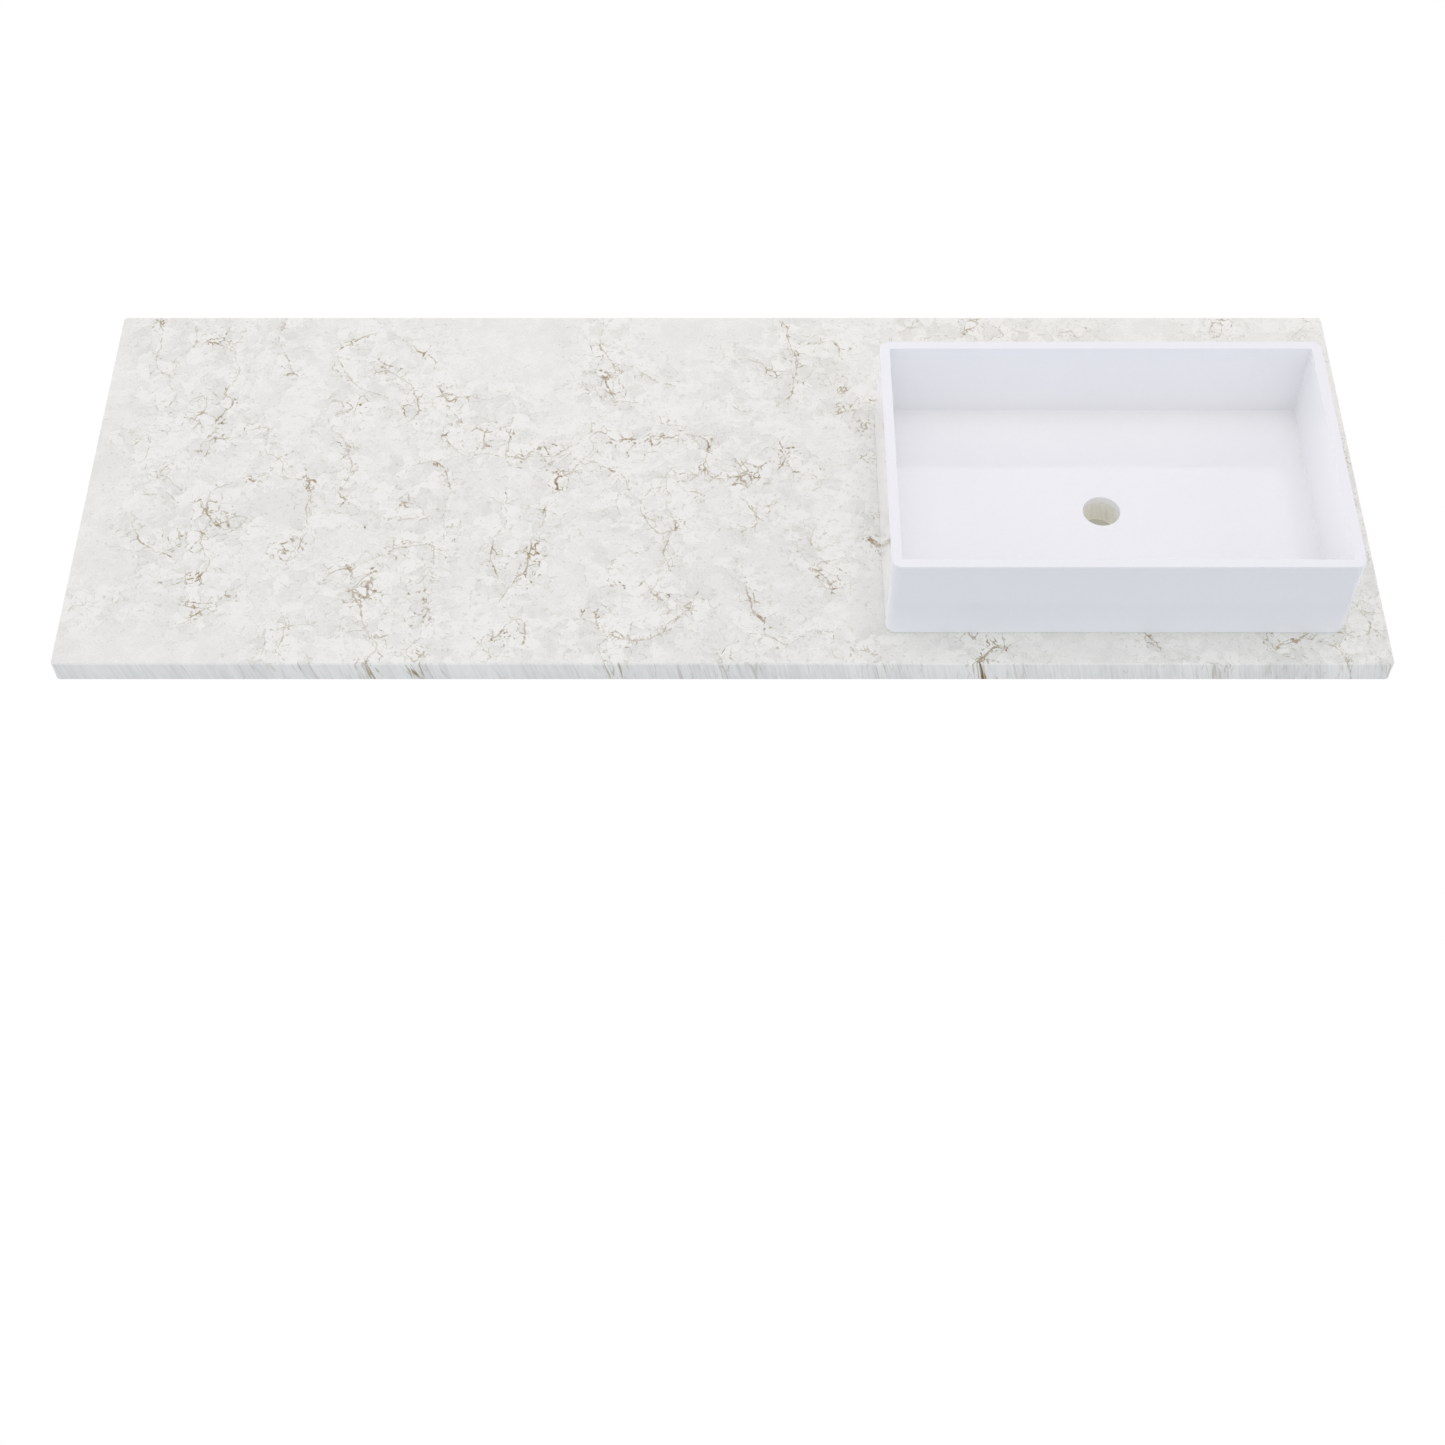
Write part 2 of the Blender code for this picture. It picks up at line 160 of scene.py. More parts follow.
VEIN_PLAN: tuple[VeinRoute, ...] = (
    VeinRoute(0.6, ((-725, 270), (-720, 240), (-720, 220), (-720, 190), (-700, 170), (-715, 140),
        (-705, 115))),
    VeinRoute(0.6, ((-700, 170), (-690, 135), (-700, 120))),
    VeinRoute(0.6, ((-685, 275), (-675, 235), (-680, 225), (-700, 200))),
    VeinRoute(0.85, ((-660, 235), (-650, 235), (-630, 220))),
    VeinRoute(0.5, ((-615, 275), (-615, 250), (-625, 215), (-615, 180), (-625, 145), (-615, 130),
        (-630, 100))),
    VeinRoute(0.9, ((-665, 135), (-650, 145), (-650, 120), (-660, 100))),
    VeinRoute(0.6, ((-565, 275), (-570, 240), (-560, 215), (-540, 175))),
    VeinRoute(0.6, ((-445, 250), (-475, 235), (-490, 215), (-475, 175), (-460, 155), (-425, 140))),
    VeinRoute(1.0, ((-440, 195), (-405, 170), (-385, 140), (-380, 120), (-390, 100))),
    VeinRoute(0.6, ((-415, 245), (-395, 225), (-370, 205), (-365, 190))),
    VeinRoute(0.9, ((-360, 155), (-345, 130), (-330, 140), (-320, 130), (-335, 115), (-330, 100))),
    VeinRoute(0.75, ((-490, 135), (-465, 125), (-470, 115), (-490, 100), (-480, 80), (-460, 55))),
    VeinRoute(0.7, ((-730, 60), (-715, 75), (-710, 50), (-715, 30))),
    VeinRoute(1.0, ((-685, 20), (-690, 10), (-675, 0), (-660, -15))),
    VeinRoute(0.75, ((-645, 50), (-640, 65), (-610, 70), (-585, 85), (-565, 85), (-565, 50), (-545, 35),
        (-540, 15))),
    VeinRoute(0.6, ((-620, -15), (-605, -5), (-565, 10), (-555, 15))),
    VeinRoute(0.6, ((-535, 5), (-505, 0), (-505, -10))),
    VeinRoute(0.5, ((-470, -15), (-460, -5), (-455, 20), (-465, 55))),
    VeinRoute(0.6, ((-400, -15), (-390, 10), (-380, 25), (-355, 30), (-340, 15), (-330, -15))),
    VeinRoute(0.8, ((-340, 65), (-325, 45), (-300, 45), (-295, 80))),
    VeinRoute(0.9, ((-145, 275), (-155, 255), (-155, 225), (-140, 200), (-135, 180), (-150, 170),
        (-140, 150), (-135, 130))),
    VeinRoute(0.6, ((-160, 155), (-150, 135), (-135, 135), (-100, 130))),
    VeinRoute(0.6, ((-110, 190), (-90, 170), (-65, 160))),
    VeinRoute(0.65, ((80, 265), (85, 235), (95, 205), (90, 165), (85, 140), (70, 125))),
    VeinRoute(0.75, ((105, 230), (120, 235), (145, 235), (150, 210))),
    VeinRoute(0.6, ((15, 200), (30, 205), (50, 195), (60, 185), (80, 185))),
    VeinRoute(0.6, ((5, 130), (25, 115), (55, 115))),
    VeinRoute(0.6, ((150, 175), (160, 170), (150, 150))),
    VeinRoute(0.6, ((185, 135), (170, 135), (160, 115), (185, 115))),
    VeinRoute(0.6, ((140, 110), (155, 115))),
    VeinRoute(0.6, ((175, 90), (175, 80))),
    VeinRoute(0.8, ((-265, 40), (-245, 35), (-235, 45), (-210, 40), (-190, 55))),
    VeinRoute(0.9, ((-200, -15), (-205, 5), (-185, 15), (-175, 30), (-160, 50), (-165, 70), (-150, 80),
        (-135, 65), (-115, 70))),
    VeinRoute(0.6, ((-180, 20), (-155, 30), (-135, 15), (-120, 10), (-115, -10))),
    VeinRoute(0.85, ((-90, 60), (-90, 70), (-70, 70), (-45, 75), (-20, 65), (-20, 30))),
    VeinRoute(0.6, ((-80, 110), (-75, 95), (-45, 90))),
    VeinRoute(1.0, ((-25, 25), (-35, 5), (-40, 0))),
    VeinRoute(0.6, ((-60, 20), (-70, 5), (-70, -15))),
    VeinRoute(1.0, ((-20, 20), (-15, 5), (15, 5), (30, 10), (25, 30), (45, 20))),
    VeinRoute(1.0, ((15, 40), (25, 15), (35, 0), (25, -15))),
    VeinRoute(0.8, ((50, 50), (60, 55), (75, 40), (70, 20))),
    VeinRoute(0.6, ((110, 10), (120, 0), (115, -15))),
    VeinRoute(0.6, ((-265, 140), (-260, 115), (-265, 50))),
    VeinRoute(0.6, ((-700, -20), (-670, -25), (-665, -40))),
    VeinRoute(0.6, ((-710, -75), (-695, -100), (-670, -110), (-650, -100), (-655, -75))),
    VeinRoute(0.8, ((-630, -75), (-620, -110), (-610, -130), (-620, -150), (-645, -160))),
    VeinRoute(0.6, ((-630, -190), (-605, -190), (-580, -180))),
    VeinRoute(0.6, ((-620, -210), (-605, -200))),
    VeinRoute(0.6, ((-715, -190), (-705, -185))),
    VeinRoute(0.6, ((-770, -205), (-760, -195), (-740, -195))),
    VeinRoute(0.9, ((-625, -20), (-625, -40), (-610, -70), (-590, -55), (-575, -60), (-590, -80))),
    VeinRoute(0.7, ((-500, -20), (-505, -50), (-500, -80), (-510, -120), (-530, -125), (-530, -110),
        (-505, -115))),
    VeinRoute(0.6, ((-520, -160), (-510, -170))),
    VeinRoute(0.85, ((-530, -235), (-530, -260))),
    VeinRoute(0.6, ((-510, -220), (-510, -245), (-520, -265), (-505, -270), (-500, -285))),
    VeinRoute(0.9, ((-465, -145), (-440, -140), (-440, -155), (-420, -145), (-415, -160))),
    VeinRoute(1.0, ((-420, -160), (-420, -180), (-440, -170), (-425, -200), (-420, -225), (-410, -240),
        (-400, -255), (-410, -270), (-405, -290))),
    VeinRoute(0.85, ((-435, -235), (-420, -230), (-415, -220))),
    VeinRoute(0.6, ((-465, -25), (-445, -40))),
    VeinRoute(0.9, ((-400, -65), (-380, -60), (-365, -55), (-370, -40), (-390, -35))),
    VeinRoute(1.0, ((-395, -110), (-360, -100), (-345, -105), (-345, -125), (-355, -160), (-370, -155))),
    VeinRoute(0.6, ((-335, -30), (-335, -60), (-335, -95))),
    VeinRoute(0.6, ((-345, -190), (-350, -220), (-355, -245), (-365, -260), (-355, -275), (-345, -260),
        (-345, -285))),
    VeinRoute(0.6, ((-320, -255), (-305, -265))),
    VeinRoute(0.85, ((-215, -40), (-215, -65), (-220, -75))),
    VeinRoute(0.75, ((-220, -95), (-230, -95), (-230, -115), (-240, -150), (-260, -185))),
    VeinRoute(0.6, ((-265, -40), (-260, -65), (-275, -95), (-275, -125), (-265, -155))),
    VeinRoute(0.6, ((-125, -20), (-125, -55))),
    VeinRoute(0.6, ((-90, -20), (-100, -40), (-90, -65), (-80, -80), (-55, -80))),
    VeinRoute(0.6, ((-40, -20), (-30, -20))),
    VeinRoute(0.6, ((-65, -20), (-65, -35))),
    VeinRoute(0.6, ((-130, -125), (-135, -140), (-135, -160), (-130, -165))),
    VeinRoute(0.6, ((-110, -115), (-90, -110))),
    VeinRoute(0.9, ((-55, -75), (-70, -115), (-65, -140), (-85, -175), (-70, -185), (-60, -200),
        (-35, -190), (-35, -195))),
    VeinRoute(0.9, ((-150, -205), (-145, -225), (-135, -235), (-110, -245), (-80, -240), (-60, -215),
        (-35, -200))),
    VeinRoute(0.8, ((-130, -240), (-145, -255), (-135, -275), (-135, -285))),
    VeinRoute(0.6, ((-110, -240), (-105, -220), (-90, -215), (-75, -230), (-70, -240))),
    VeinRoute(0.6, ((-145, -195), (-150, -220), (-135, -225))),
    VeinRoute(0.6, ((60, -20), (70, -35), (55, -40))),
    VeinRoute(0.6, ((15, -70), (40, -75), (40, -55), (20, -25))),
    VeinRoute(1.0, ((110, -75), (105, -95), (115, -110), (125, -105))),
    VeinRoute(1.0, ((115, -130), (135, -125))),
    VeinRoute(0.95, ((110, -140), (115, -145), (125, -160))),
    VeinRoute(0.45, ((25, -150), (30, -180), (35, -200), (45, -215))),
    VeinRoute(0.75, ((30, -235), (55, -240), (75, -250), (90, -240), (110, -230))),
    VeinRoute(0.6, ((185, -55), (195, -65))),
    VeinRoute(0.45, ((170, -85), (175, -90), (190, -120))),
    VeinRoute(0.6, ((-270, -265), (-280, -250), (-275, -235), (-265, -240), (-245, -215), (-230, -220),
        (-230, -250))),
    VeinRoute(0.6, ((-205, -235), (-195, -225))),
    VeinRoute(0.9, ((-5, -265), (0, -285))),
    VeinRoute(0.6, ((170, -255), (175, -285))),
    VeinRoute(0.6, ((215, 235), (225, 250), (240, 260), (245, 270))),
    VeinRoute(0.6, ((260, 240), (270, 245), (290, 245))),
    VeinRoute(0.7, ((310, 255), (325, 260), (330, 270), (320, 275))),
    VeinRoute(0.8, ((345, 265), (360, 255), (360, 245), (350, 245))),
    VeinRoute(0.6, ((375, 260), (390, 250), (400, 255))),
    VeinRoute(0.6, ((435, 250), (450, 255), (455, 245))),
    VeinRoute(0.8, ((635, 270), (645, 270), (645, 260), (640, 245), (630, 245), (630, 260), (635, 270))),
    VeinRoute(0.6, ((735, 250), (745, 260), (755, 270), (765, 265))),
    VeinRoute(0.6, ((175, 140), (180, 130), (195, 125), (195, 115))),
    VeinRoute(0.6, ((170, 90), (175, 95), (180, 85))),
    VeinRoute(0.6, ((180, 35), (190, 35), (195, 30))),
    VeinRoute(0.6, ((175, -55), (190, -60), (190, -55))),
    VeinRoute(0.6, ((165, -90), (175, -85), (185, -100), (190, -115))),
    VeinRoute(0.6, ((160, -260), (175, -260), (175, -275))),
    VeinRoute(0.6, ((270, -245), (285, -235), (295, -245))),
    VeinRoute(0.8, ((295, -275), (305, -265), (310, -255), (325, -255), (325, -235))),
    VeinRoute(0.6, ((340, -240), (350, -240))),
    VeinRoute(0.6, ((490, -235), (500, -245), (505, -255))),
    VeinRoute(0.6, ((545, -270), (555, -275), (575, -280))),
    VeinRoute(0.6, ((635, -235), (635, -250), (645, -265), (655, -270))),
    VeinRoute(0.6, ((635, -250), (655, -250), (675, -240), (685, -235))),
    VeinRoute(0.6, ((705, -250), (715, -260), (715, -275), (725, -270))),
    VeinRoute(0.6, ((770, 60), (770, 50), (765, 35))),
    VeinRoute(0.6, ((765, -15), (770, -35), (765, -50))),
    VeinRoute(0.6, ((770, -105), (770, -125))),
    VeinRoute(0.6, ((770, -180), (755, -185), (745, -195), (760, -205), (770, -205))),
    VeinRoute(0.8, ((725, -220), (725, -235), (735, -240), (750, -235), (755, -220), (745, -200))),
    VeinRoute(0.6, ((775, -265), (775, -275))),
    VeinRoute(0.6, ((180, -265), (185, -280))),
    VeinRoute(0.6, ((670, -270), (670, -280))),
    VeinRoute(0.6, ((720, -265), (720, -280))),
)


class NodeSheet:
    """Adds, sets and links the nodes of one node tree."""

    def __init__(self, tree: Tree) -> None:
        """Take the node tree to work in."""
        self.tree = tree

    def add(self, kind: str, **settings: object) -> bpy.types.Node:
        """Add a node.

        Args:
            kind: the node's Blender type.
            settings: the node's own properties.

        Returns:
            The new node.
        """
        node = self.tree.nodes.new(kind)
        for name, value in settings.items():
            setattr(node, name, value)
        return node

    def feed(self, socket: Socket, value: object) -> None:
        """Link a socket where the value is one, and set it otherwise.

        Args:
            socket: the input that is fed.
            value: an output socket or a plain value.
        """
        if isinstance(value, Socket):
            self.tree.links.new(value, socket)
        else:
            socket.default_value = value

    def apply(self, node: bpy.types.Node, values: Iterable[object]) -> Socket:
        """Feed a node's inputs in order.

        Args:
            node: the node.
            values: what feeds its inputs.

        Returns:
            The node's first output.
        """
        for socket, value in zip(node.inputs, values):
            self.feed(socket, value)
        return node.outputs[0]

    def maths(self, operation: str, *values: object) -> Socket:
        """Do one sum on numbers."""
        return self.apply(self.add("ShaderNodeMath", operation=operation), values)

    def vectors(self, operation: str, *values: object) -> Socket:
        """Do one sum on vectors."""
        return self.apply(self.add("ShaderNodeVectorMath", operation=operation), values)

    def times(self, first: object, second: object) -> Socket:
        """Multiply two numbers."""
        return self.maths("MULTIPLY", first, second)

    def plus(self, first: object, second: object) -> Socket:
        """Add two numbers."""
        return self.maths("ADD", first, second)

    def less(self, first: object, second: object) -> Socket:
        """Take the second number from the first."""
        return self.maths("SUBTRACT", first, second)

    def rise(self, value: object, slope: object, start: object) -> Socket:
        """Multiply a number by a slope and add a start."""
        return self.maths("MULTIPLY_ADD", value, slope, start)

    def most(self, first: object, second: object) -> Socket:
        """Take the larger of two numbers."""
        return self.maths("MAXIMUM", first, second)

    def size(self, value: object) -> Socket:
        """Take a number without its sign."""
        return self.maths("ABSOLUTE", value)

    def scaled(self, vector: object, factor: float) -> Socket:
        """Multiply a vector by a number."""
        return self.vectors("MULTIPLY", vector, (factor, factor, factor))

    def noise(self, place: object, scale: float, detail: float = 2.0) -> tuple[Socket, Socket]:
        """Make smooth noise.

        Args:
            place: the point at which it is read.
            scale: its waves to the metre.
            detail: how many finer layers it has.

        Returns:
            The noise as a number and as a colour.
        """
        node = self.add("ShaderNodeTexNoise")
        self.feed(node.inputs["Vector"], place)
        node.inputs["Scale"].default_value = scale
        node.inputs["Detail"].default_value = detail
        node.inputs["Roughness"].default_value = NOISE_ROUGHNESS
        return node.outputs[0], node.outputs[1]

    def cells(self, place: object, scale: float, feature: str = "F1") -> bpy.types.Node:
        """Make a Voronoi pattern of cells.

        Args:
            place: the point at which it is read.
            scale: its cells to the metre.
            feature: what it measures in each cell.

        Returns:
            The Voronoi node.
        """
        node = self.add("ShaderNodeTexVoronoi", feature=feature)
        self.feed(node.inputs["Vector"], place)
        node.inputs["Scale"].default_value = scale
        return node

    def channels(self, colour: object) -> tuple[Socket, ...]:
        """Split a colour or a vector into its three numbers."""
        node = self.add("ShaderNodeSeparateXYZ")
        self.feed(node.inputs[0], colour)
        return tuple(node.outputs)

    def span(self, value: object, low: object, high: object, start: float = 0.0,
             end: float = 1.0) -> Socket:
        """Ease a number from one span to another.

        Args:
            value: the number.
            low: where the first span starts.
            high: where it ends.
            start: the result at low.
            end: the result at high.

        Returns:
            The eased number.
        """
        node = self.add("ShaderNodeMapRange", interpolation_type="SMOOTHSTEP")
        return self.apply(node, (value, low, high, start, end))

    def blend(self, share: object, first: object, second: object, mode: str = "MIX") -> Socket:
        """Mix two colours.

        Args:
            share: how much of the second is used.
            first: the colour underneath.
            second: the colour on top.
            mode: how they mix.

        Returns:
            The mixed colour.
        """
        node = self.add("ShaderNodeMix", data_type="RGBA", blend_type=mode)
        self.feed(node.inputs["Factor"], share)
        sockets = {socket.identifier: socket for socket in node.inputs}
        self.feed(sockets["A_Color"], opaque(first))
        self.feed(sockets["B_Color"], opaque(second))
        results = {socket.identifier: socket for socket in node.outputs}
        return results["Result_Color"]

    def group(self, tree: Tree, **inputs: object) -> bpy.types.Node:
        """Place a node group.

        Args:
            tree: the group's tree.
            inputs: what feeds its named inputs, which may be numbers or sockets.

        Returns:
            The group node.
        """
        node = self.add("ShaderNodeGroup", node_tree=tree)
        for name, value in inputs.items():
            self.feed(node.inputs[name.capitalize()], value)
        return node


def shifted(sheet: NodeSheet, place: object, amount: float) -> Socket:
    """Move the point at which a pattern is read by some metres, so that two patterns differ."""
    return sheet.vectors("ADD", place, (amount, 1.7 * amount, -0.6 * amount))


def opaque(colour: object) -> object:
    """Give a plain colour its alpha, and leave a socket as it is."""
    return colour if isinstance(colour, Socket) else (*colour, 1.0)


def new_group(name: str, inputs: dict[str, str], outputs: dict[str, str]) -> tuple:
    """Start a shader node group.

    Args:
        name: the group's name.
        inputs: its inputs' names and the kinds of their sockets.
        outputs: its outputs' names and kinds.

    Returns:
        The tree, its sheet, its input node and its output node.
    """
    tree = bpy.data.node_groups.new(name, "ShaderNodeTree")
    for side, sockets in (("INPUT", inputs), ("OUTPUT", outputs)):
        for label, kind in sockets.items():
            tree.interface.new_socket(label, in_out=side, socket_type=f"NodeSocket{kind}")
    sheet = NodeSheet(tree)
    return tree, sheet, sheet.add("NodeGroupInput"), sheet.add("NodeGroupOutput")


@dataclass(frozen=True)
class FineGrain:
    """The grain of a filled resin: a fine speckle, slow clouds and a slight unevenness of its skin."""

    specks_per_metre: float = 620.0
    clouds_per_metre: float = 7.0
    pores_per_metre: float = 260.0

    def build(self) -> Tree:
        """Make the node group.

        Returns:
            The group, which gives a speckle, clouds and a height between 0 and 1.
        """
        tree, sheet, start, end = new_group(
            "fine_grain", {"Place": "Vector"}, {"Speckle": "Float", "Clouds": "Float", "Height": "Float"})
        place = start.outputs["Place"]
        speck = sheet.cells(place, self.specks_per_metre)
        soft, _ = sheet.noise(place, self.pores_per_metre, 3.0)
        clouds, _ = sheet.noise(place, self.clouds_per_metre, 3.0)
        channels = sheet.channels(speck.outputs["Color"])
        sheet.feed(end.inputs["Speckle"], channels[0])
        sheet.feed(end.inputs["Clouds"], sheet.span(clouds, 0.3, 0.7))
        height = sheet.rise(channels[1], 0.35, soft)
        sheet.feed(end.inputs["Height"], height)
        return tree


@dataclass(frozen=True)
class StoneFigure:
    """The figure of the quartz: patches and pebbles, brushed streaks, and broken brown veins."""

    grey: Colour = (0.751, 0.752, 0.715)
    middle: Colour = (0.819, 0.818, 0.780)
    pale: Colour = (0.882, 0.881, 0.842)
    vein_tan: Colour = (0.33, 0.255, 0.115)
    vein_brown: Colour = (0.150, 0.083, 0.004)
    vein_gold: Colour = (0.28, 0.175, 0.020)
    chip_scale: float = 52.0
    crumb_scale: float = 118.0
    cloud_scale: float = 9.0
    puff_scale: float = 36.0
    fine_scale: float = 360.0
    torn_edge_scale: float = 62.0
    curl_scale: float = 88.0
    dash_scale: float = 150.0
    knot_scale: float = 24.0
    swell_scale: float = 80.0
    sway_scale: float = 75.0
    dot_scale: float = 240.0
    gold_scale: float = 30.0
    base_tone: float = -0.265
    cloud_share: float = 0.55
    puff_share: float = 0.30
    fine_share: float = 0.80
    chip_share: float = 0.50
    crumb_share: float = 0.38
    streak_share: float = 0.40
    least_vein: float = 0.37
    faint_vein: float = 0.21

    def build(self) -> Tree:
        """Make the node group.

        Returns:
            The group, which gives the stone's colour and its veins' mask.
        """
        tree, sheet, start, end = new_group(
            "stone_figure", {"Place": "Vector", "Vein": "Vector", "Pebble": "Vector"},
            {"Colour": "Color", "Veins": "Float"})
        place = start.outputs["Place"]
        side, reach, strength = sheet.channels(start.outputs["Vein"])
        tone = self.tone(sheet, place, side, reach, sheet.channels(start.outputs["Pebble"]))
        body = sheet.blend(sheet.span(tone, 0.15, 0.52), self.grey, self.middle)
        body = sheet.blend(sheet.span(tone, 0.46, 0.80), body, self.pale)
        veins, dark = self.veins(sheet, place, side, reach, strength)
        gold, _ = sheet.noise(shifted(sheet, place, 3.1), self.gold_scale, 1.0)
        pigment = sheet.blend(sheet.span(gold, 0.54, 0.62, 0.0, 0.85), self.vein_tan, self.vein_gold)
        pigment = sheet.blend(dark, pigment, self.vein_brown)
        sheet.feed(end.inputs["Colour"], sheet.blend(veins, body, pigment))
        sheet.feed(end.inputs["Veins"], veins)
        return tree

    def tone(self, sheet: NodeSheet, place: Socket, side: Socket,
             reach: Socket, pebble: tuple[Socket, ...]) -> Socket:
        """Lay out the pale and grey parts of the stone.

        Args:
            sheet: the group's sheet.
            place: the point in the stone.
            side: how far the point is to one side of the nearest vein.
            reach: how far it is from that vein.
            pebble: how far it is outside the nearest smooth grey patch, and how grey that is.

        Returns:
            How pale the stone is there.
        """
        torn = self.torn(sheet, place)
        chip = sheet.channels(sheet.cells(torn, self.chip_scale).outputs["Color"])
        crumb = sheet.channels(sheet.cells(torn, self.crumb_scale).outputs["Color"])
        # Slow clouds and small puffs.
        drift = self.jitter(sheet, place, 6.0, 1.0, 0.05)
        drifted = sheet.vectors("ADD", place, drift)
        cloud, _ = sheet.noise(drifted, self.cloud_scale, 3.0)
        puff, _ = sheet.noise(sheet.vectors("ADD", torn, (0.9, 0.2, 0.4)), self.puff_scale, 2.0)
        # Brushed streaks, which turn with a slow noise and show in some regions only.
        lie = sheet.add("ShaderNodeVectorRotate", rotation_type="Z_AXIS")
        sheet.feed(lie.inputs["Vector"], drifted)
        turn, gate = sheet.noise(shifted(sheet, place, 1.9), 3.2, 1.0)
        sheet.feed(lie.inputs["Angle"], sheet.times(turn, 2.2 * math.pi))
        brushed, _ = sheet.noise(sheet.vectors("MULTIPLY", lie.outputs[0], (30.0, 260.0, 30.0)), 1.0, 3.0)
        shown = sheet.span(sheet.channels(gate)[1], 0.42, 0.62, 0.15, 1.0)
        streak = sheet.times(sheet.less(brushed, 0.5), shown)
        fine, _ = sheet.noise(place, self.fine_scale, 2.0)
        # Chips and crumbs count for more near a vein.
        near = sheet.span(reach, 0.012, 0.045, 1.0, 0.35)
        chips = sheet.times(sheet.less(chip[0], 0.5), near)
        crumbs = sheet.times(sheet.less(crumb[0], 0.5), near)
        tone = self.base_tone
        for part, share in (
                (cloud, self.cloud_share), (puff, self.puff_share), (fine, self.fine_share),
                (chips, self.chip_share), (crumbs, self.crumb_share), (streak, self.streak_share)):
            tone = sheet.rise(part, share, tone)
        # One bank of a vein is paler than the other.
        bank = sheet.times(sheet.span(side, -0.0010, 0.0010, -0.07, 0.10),
                           sheet.span(reach, 0.002, 0.022, 1.0, 0.0))
        tone = sheet.plus(tone, bank)
        # Inside a smooth grey patch the calm tone takes over.
        ragged, _ = sheet.noise(place, self.torn_edge_scale, 4.0)
        edge = sheet.rise(ragged, 0.012, sheet.less(pebble[0], 0.006))
        smooth = sheet.times(sheet.span(edge, -0.0012, 0.0006, 0.85, 0.0), pebble[1])
        calm = sheet.rise(fine, 0.16, 0.28)
        tone = sheet.plus(sheet.times(tone, sheet.less(1.0, smooth)),
                           sheet.times(calm, smooth))
        return tone

    def torn(self, sheet: NodeSheet, place: Socket) -> Socket:
        """Warp the point so that the chips' borders wander and fray.

        Args:
            sheet: the group's sheet.
            place: the point in the stone.

        Returns:
            The warped point.
        """
        wander = self.jitter(sheet, place, 28.0, 1.0, 0.020)
        fray = self.jitter(sheet, place, 80.0, 2.0, 0.012)
        return sheet.vectors("ADD", sheet.vectors("ADD", place, wander), fray)

    @staticmethod
    def jitter(sheet: NodeSheet, place: object, scale: float, detail: float, size: float) -> object:
        """Make a displacement, up to half of size each way, that warps a pattern."""
        _, cloud = sheet.noise(place, scale, detail)
        return sheet.scaled(sheet.vectors("SUBTRACT", cloud, (0.5, 0.5, 0.5)), size)

    def veins(self, sheet: NodeSheet, place: Socket, side: Socket,
              reach: Socket, strength: Socket) -> tuple[Socket, Socket]:
        """Draw the veins along the borders of the chips that lie near a vein's route.

        Args:
            sheet: the group's sheet.
            place: the point in the stone.
            side: how far the point is to one side of the nearest vein.
            reach: how far it is from that vein.
            strength: how strongly the vein shows.

        Returns:
            The veins' mask, and where they are dark.
        """
        torn = self.torn(sheet, place)
        chip = sheet.cells(torn, self.chip_scale, "DISTANCE_TO_EDGE").outputs["Distance"]
        curl, _ = sheet.noise(shifted(sheet, torn, 4.1), self.curl_scale, 1.0)
        dash, _ = sheet.noise(shifted(sheet, place, 0.7), self.dash_scale, 3.0)
        knot, _ = sheet.noise(shifted(sheet, place, 2.4), self.knot_scale, 1.0)
        swell, _ = sheet.noise(shifted(sheet, place, 1.3), self.swell_scale, 2.0)
        # How heavy a vein is at this point, and how far it holds back.
        weak = sheet.rise(strength, -0.20, 0.20)
        heavy = sheet.rise(swell, 1.6, sheet.rise(knot, 1.6, -1.45))
        heavy = sheet.rise(strength, 0.35, heavy)
        shy = sheet.plus(weak, sheet.rise(knot, -0.40, 0.20))
        # The strand that follows the route itself.
        sway, _ = sheet.noise(place, self.sway_scale, 3.0)
        off = sheet.size(sheet.rise(sway, 0.010, sheet.less(side, 0.005)))
        ends = sheet.span(reach, 0.005, 0.009, 1.0, 0.0)
        width = sheet.span(heavy, 0.20, 0.95, 0.0008, 0.0020)
        strand = sheet.times(sheet.span(off, 0.0003, width, 1.0, 0.0), ends)
        strand = self.broken(sheet, strand, dash, sheet.plus(shy, 0.335))
        # The rims of the chips beside the route.
        wide = sheet.span(heavy, 0.20, 0.95, 0.022, 0.070)
        rim = sheet.span(chip, 0.008, wide, 1.0, 0.0)
        far = sheet.rise(reach, 11.0, 0.375)
        rims = self.broken(sheet, rim, dash, sheet.plus(shy, far))
        # The thin curls between the chips.
        lace = sheet.span(sheet.size(sheet.less(curl, 0.5)), 0.006, 0.026, 1.0, 0.0)
        deep = sheet.rise(reach, 13.0, 0.445)
        laces = self.broken(sheet, lace, dash, sheet.plus(shy, deep))
        # The rare dark dots on both.
        dots, _ = sheet.noise(place, self.dot_scale, 0.0)
        close = sheet.most(sheet.span(off, 0.001, 0.003, 1.0, 0.0), sheet.span(chip, 0.02, 0.08, 1.0, 0.0))
        rare = sheet.rise(reach, 8.0, sheet.rise(shy, 0.6, 0.66))
        spots = self.broken(sheet, close, dots, rare)
        mask = sheet.most(sheet.most(strand, rims), sheet.most(laces, spots))
        mask = sheet.times(mask, sheet.maths("MINIMUM", sheet.most(heavy, self.least_vein), 1.0))
        # The faint hairlines farther from the route.
        thin = sheet.rise(reach, 2.4, sheet.rise(shy, 0.5, 0.41))
        faint = self.broken(sheet, sheet.most(rim, lace), dash, thin)
        mask = sheet.most(mask, sheet.times(faint, self.faint_vein))
        blot = sheet.span(dash, 0.50, 0.64)
        dark = sheet.most(spots, sheet.times(blot, sheet.span(heavy, 0.35, 0.80, 0.2, 1.0)))
        return mask, dark

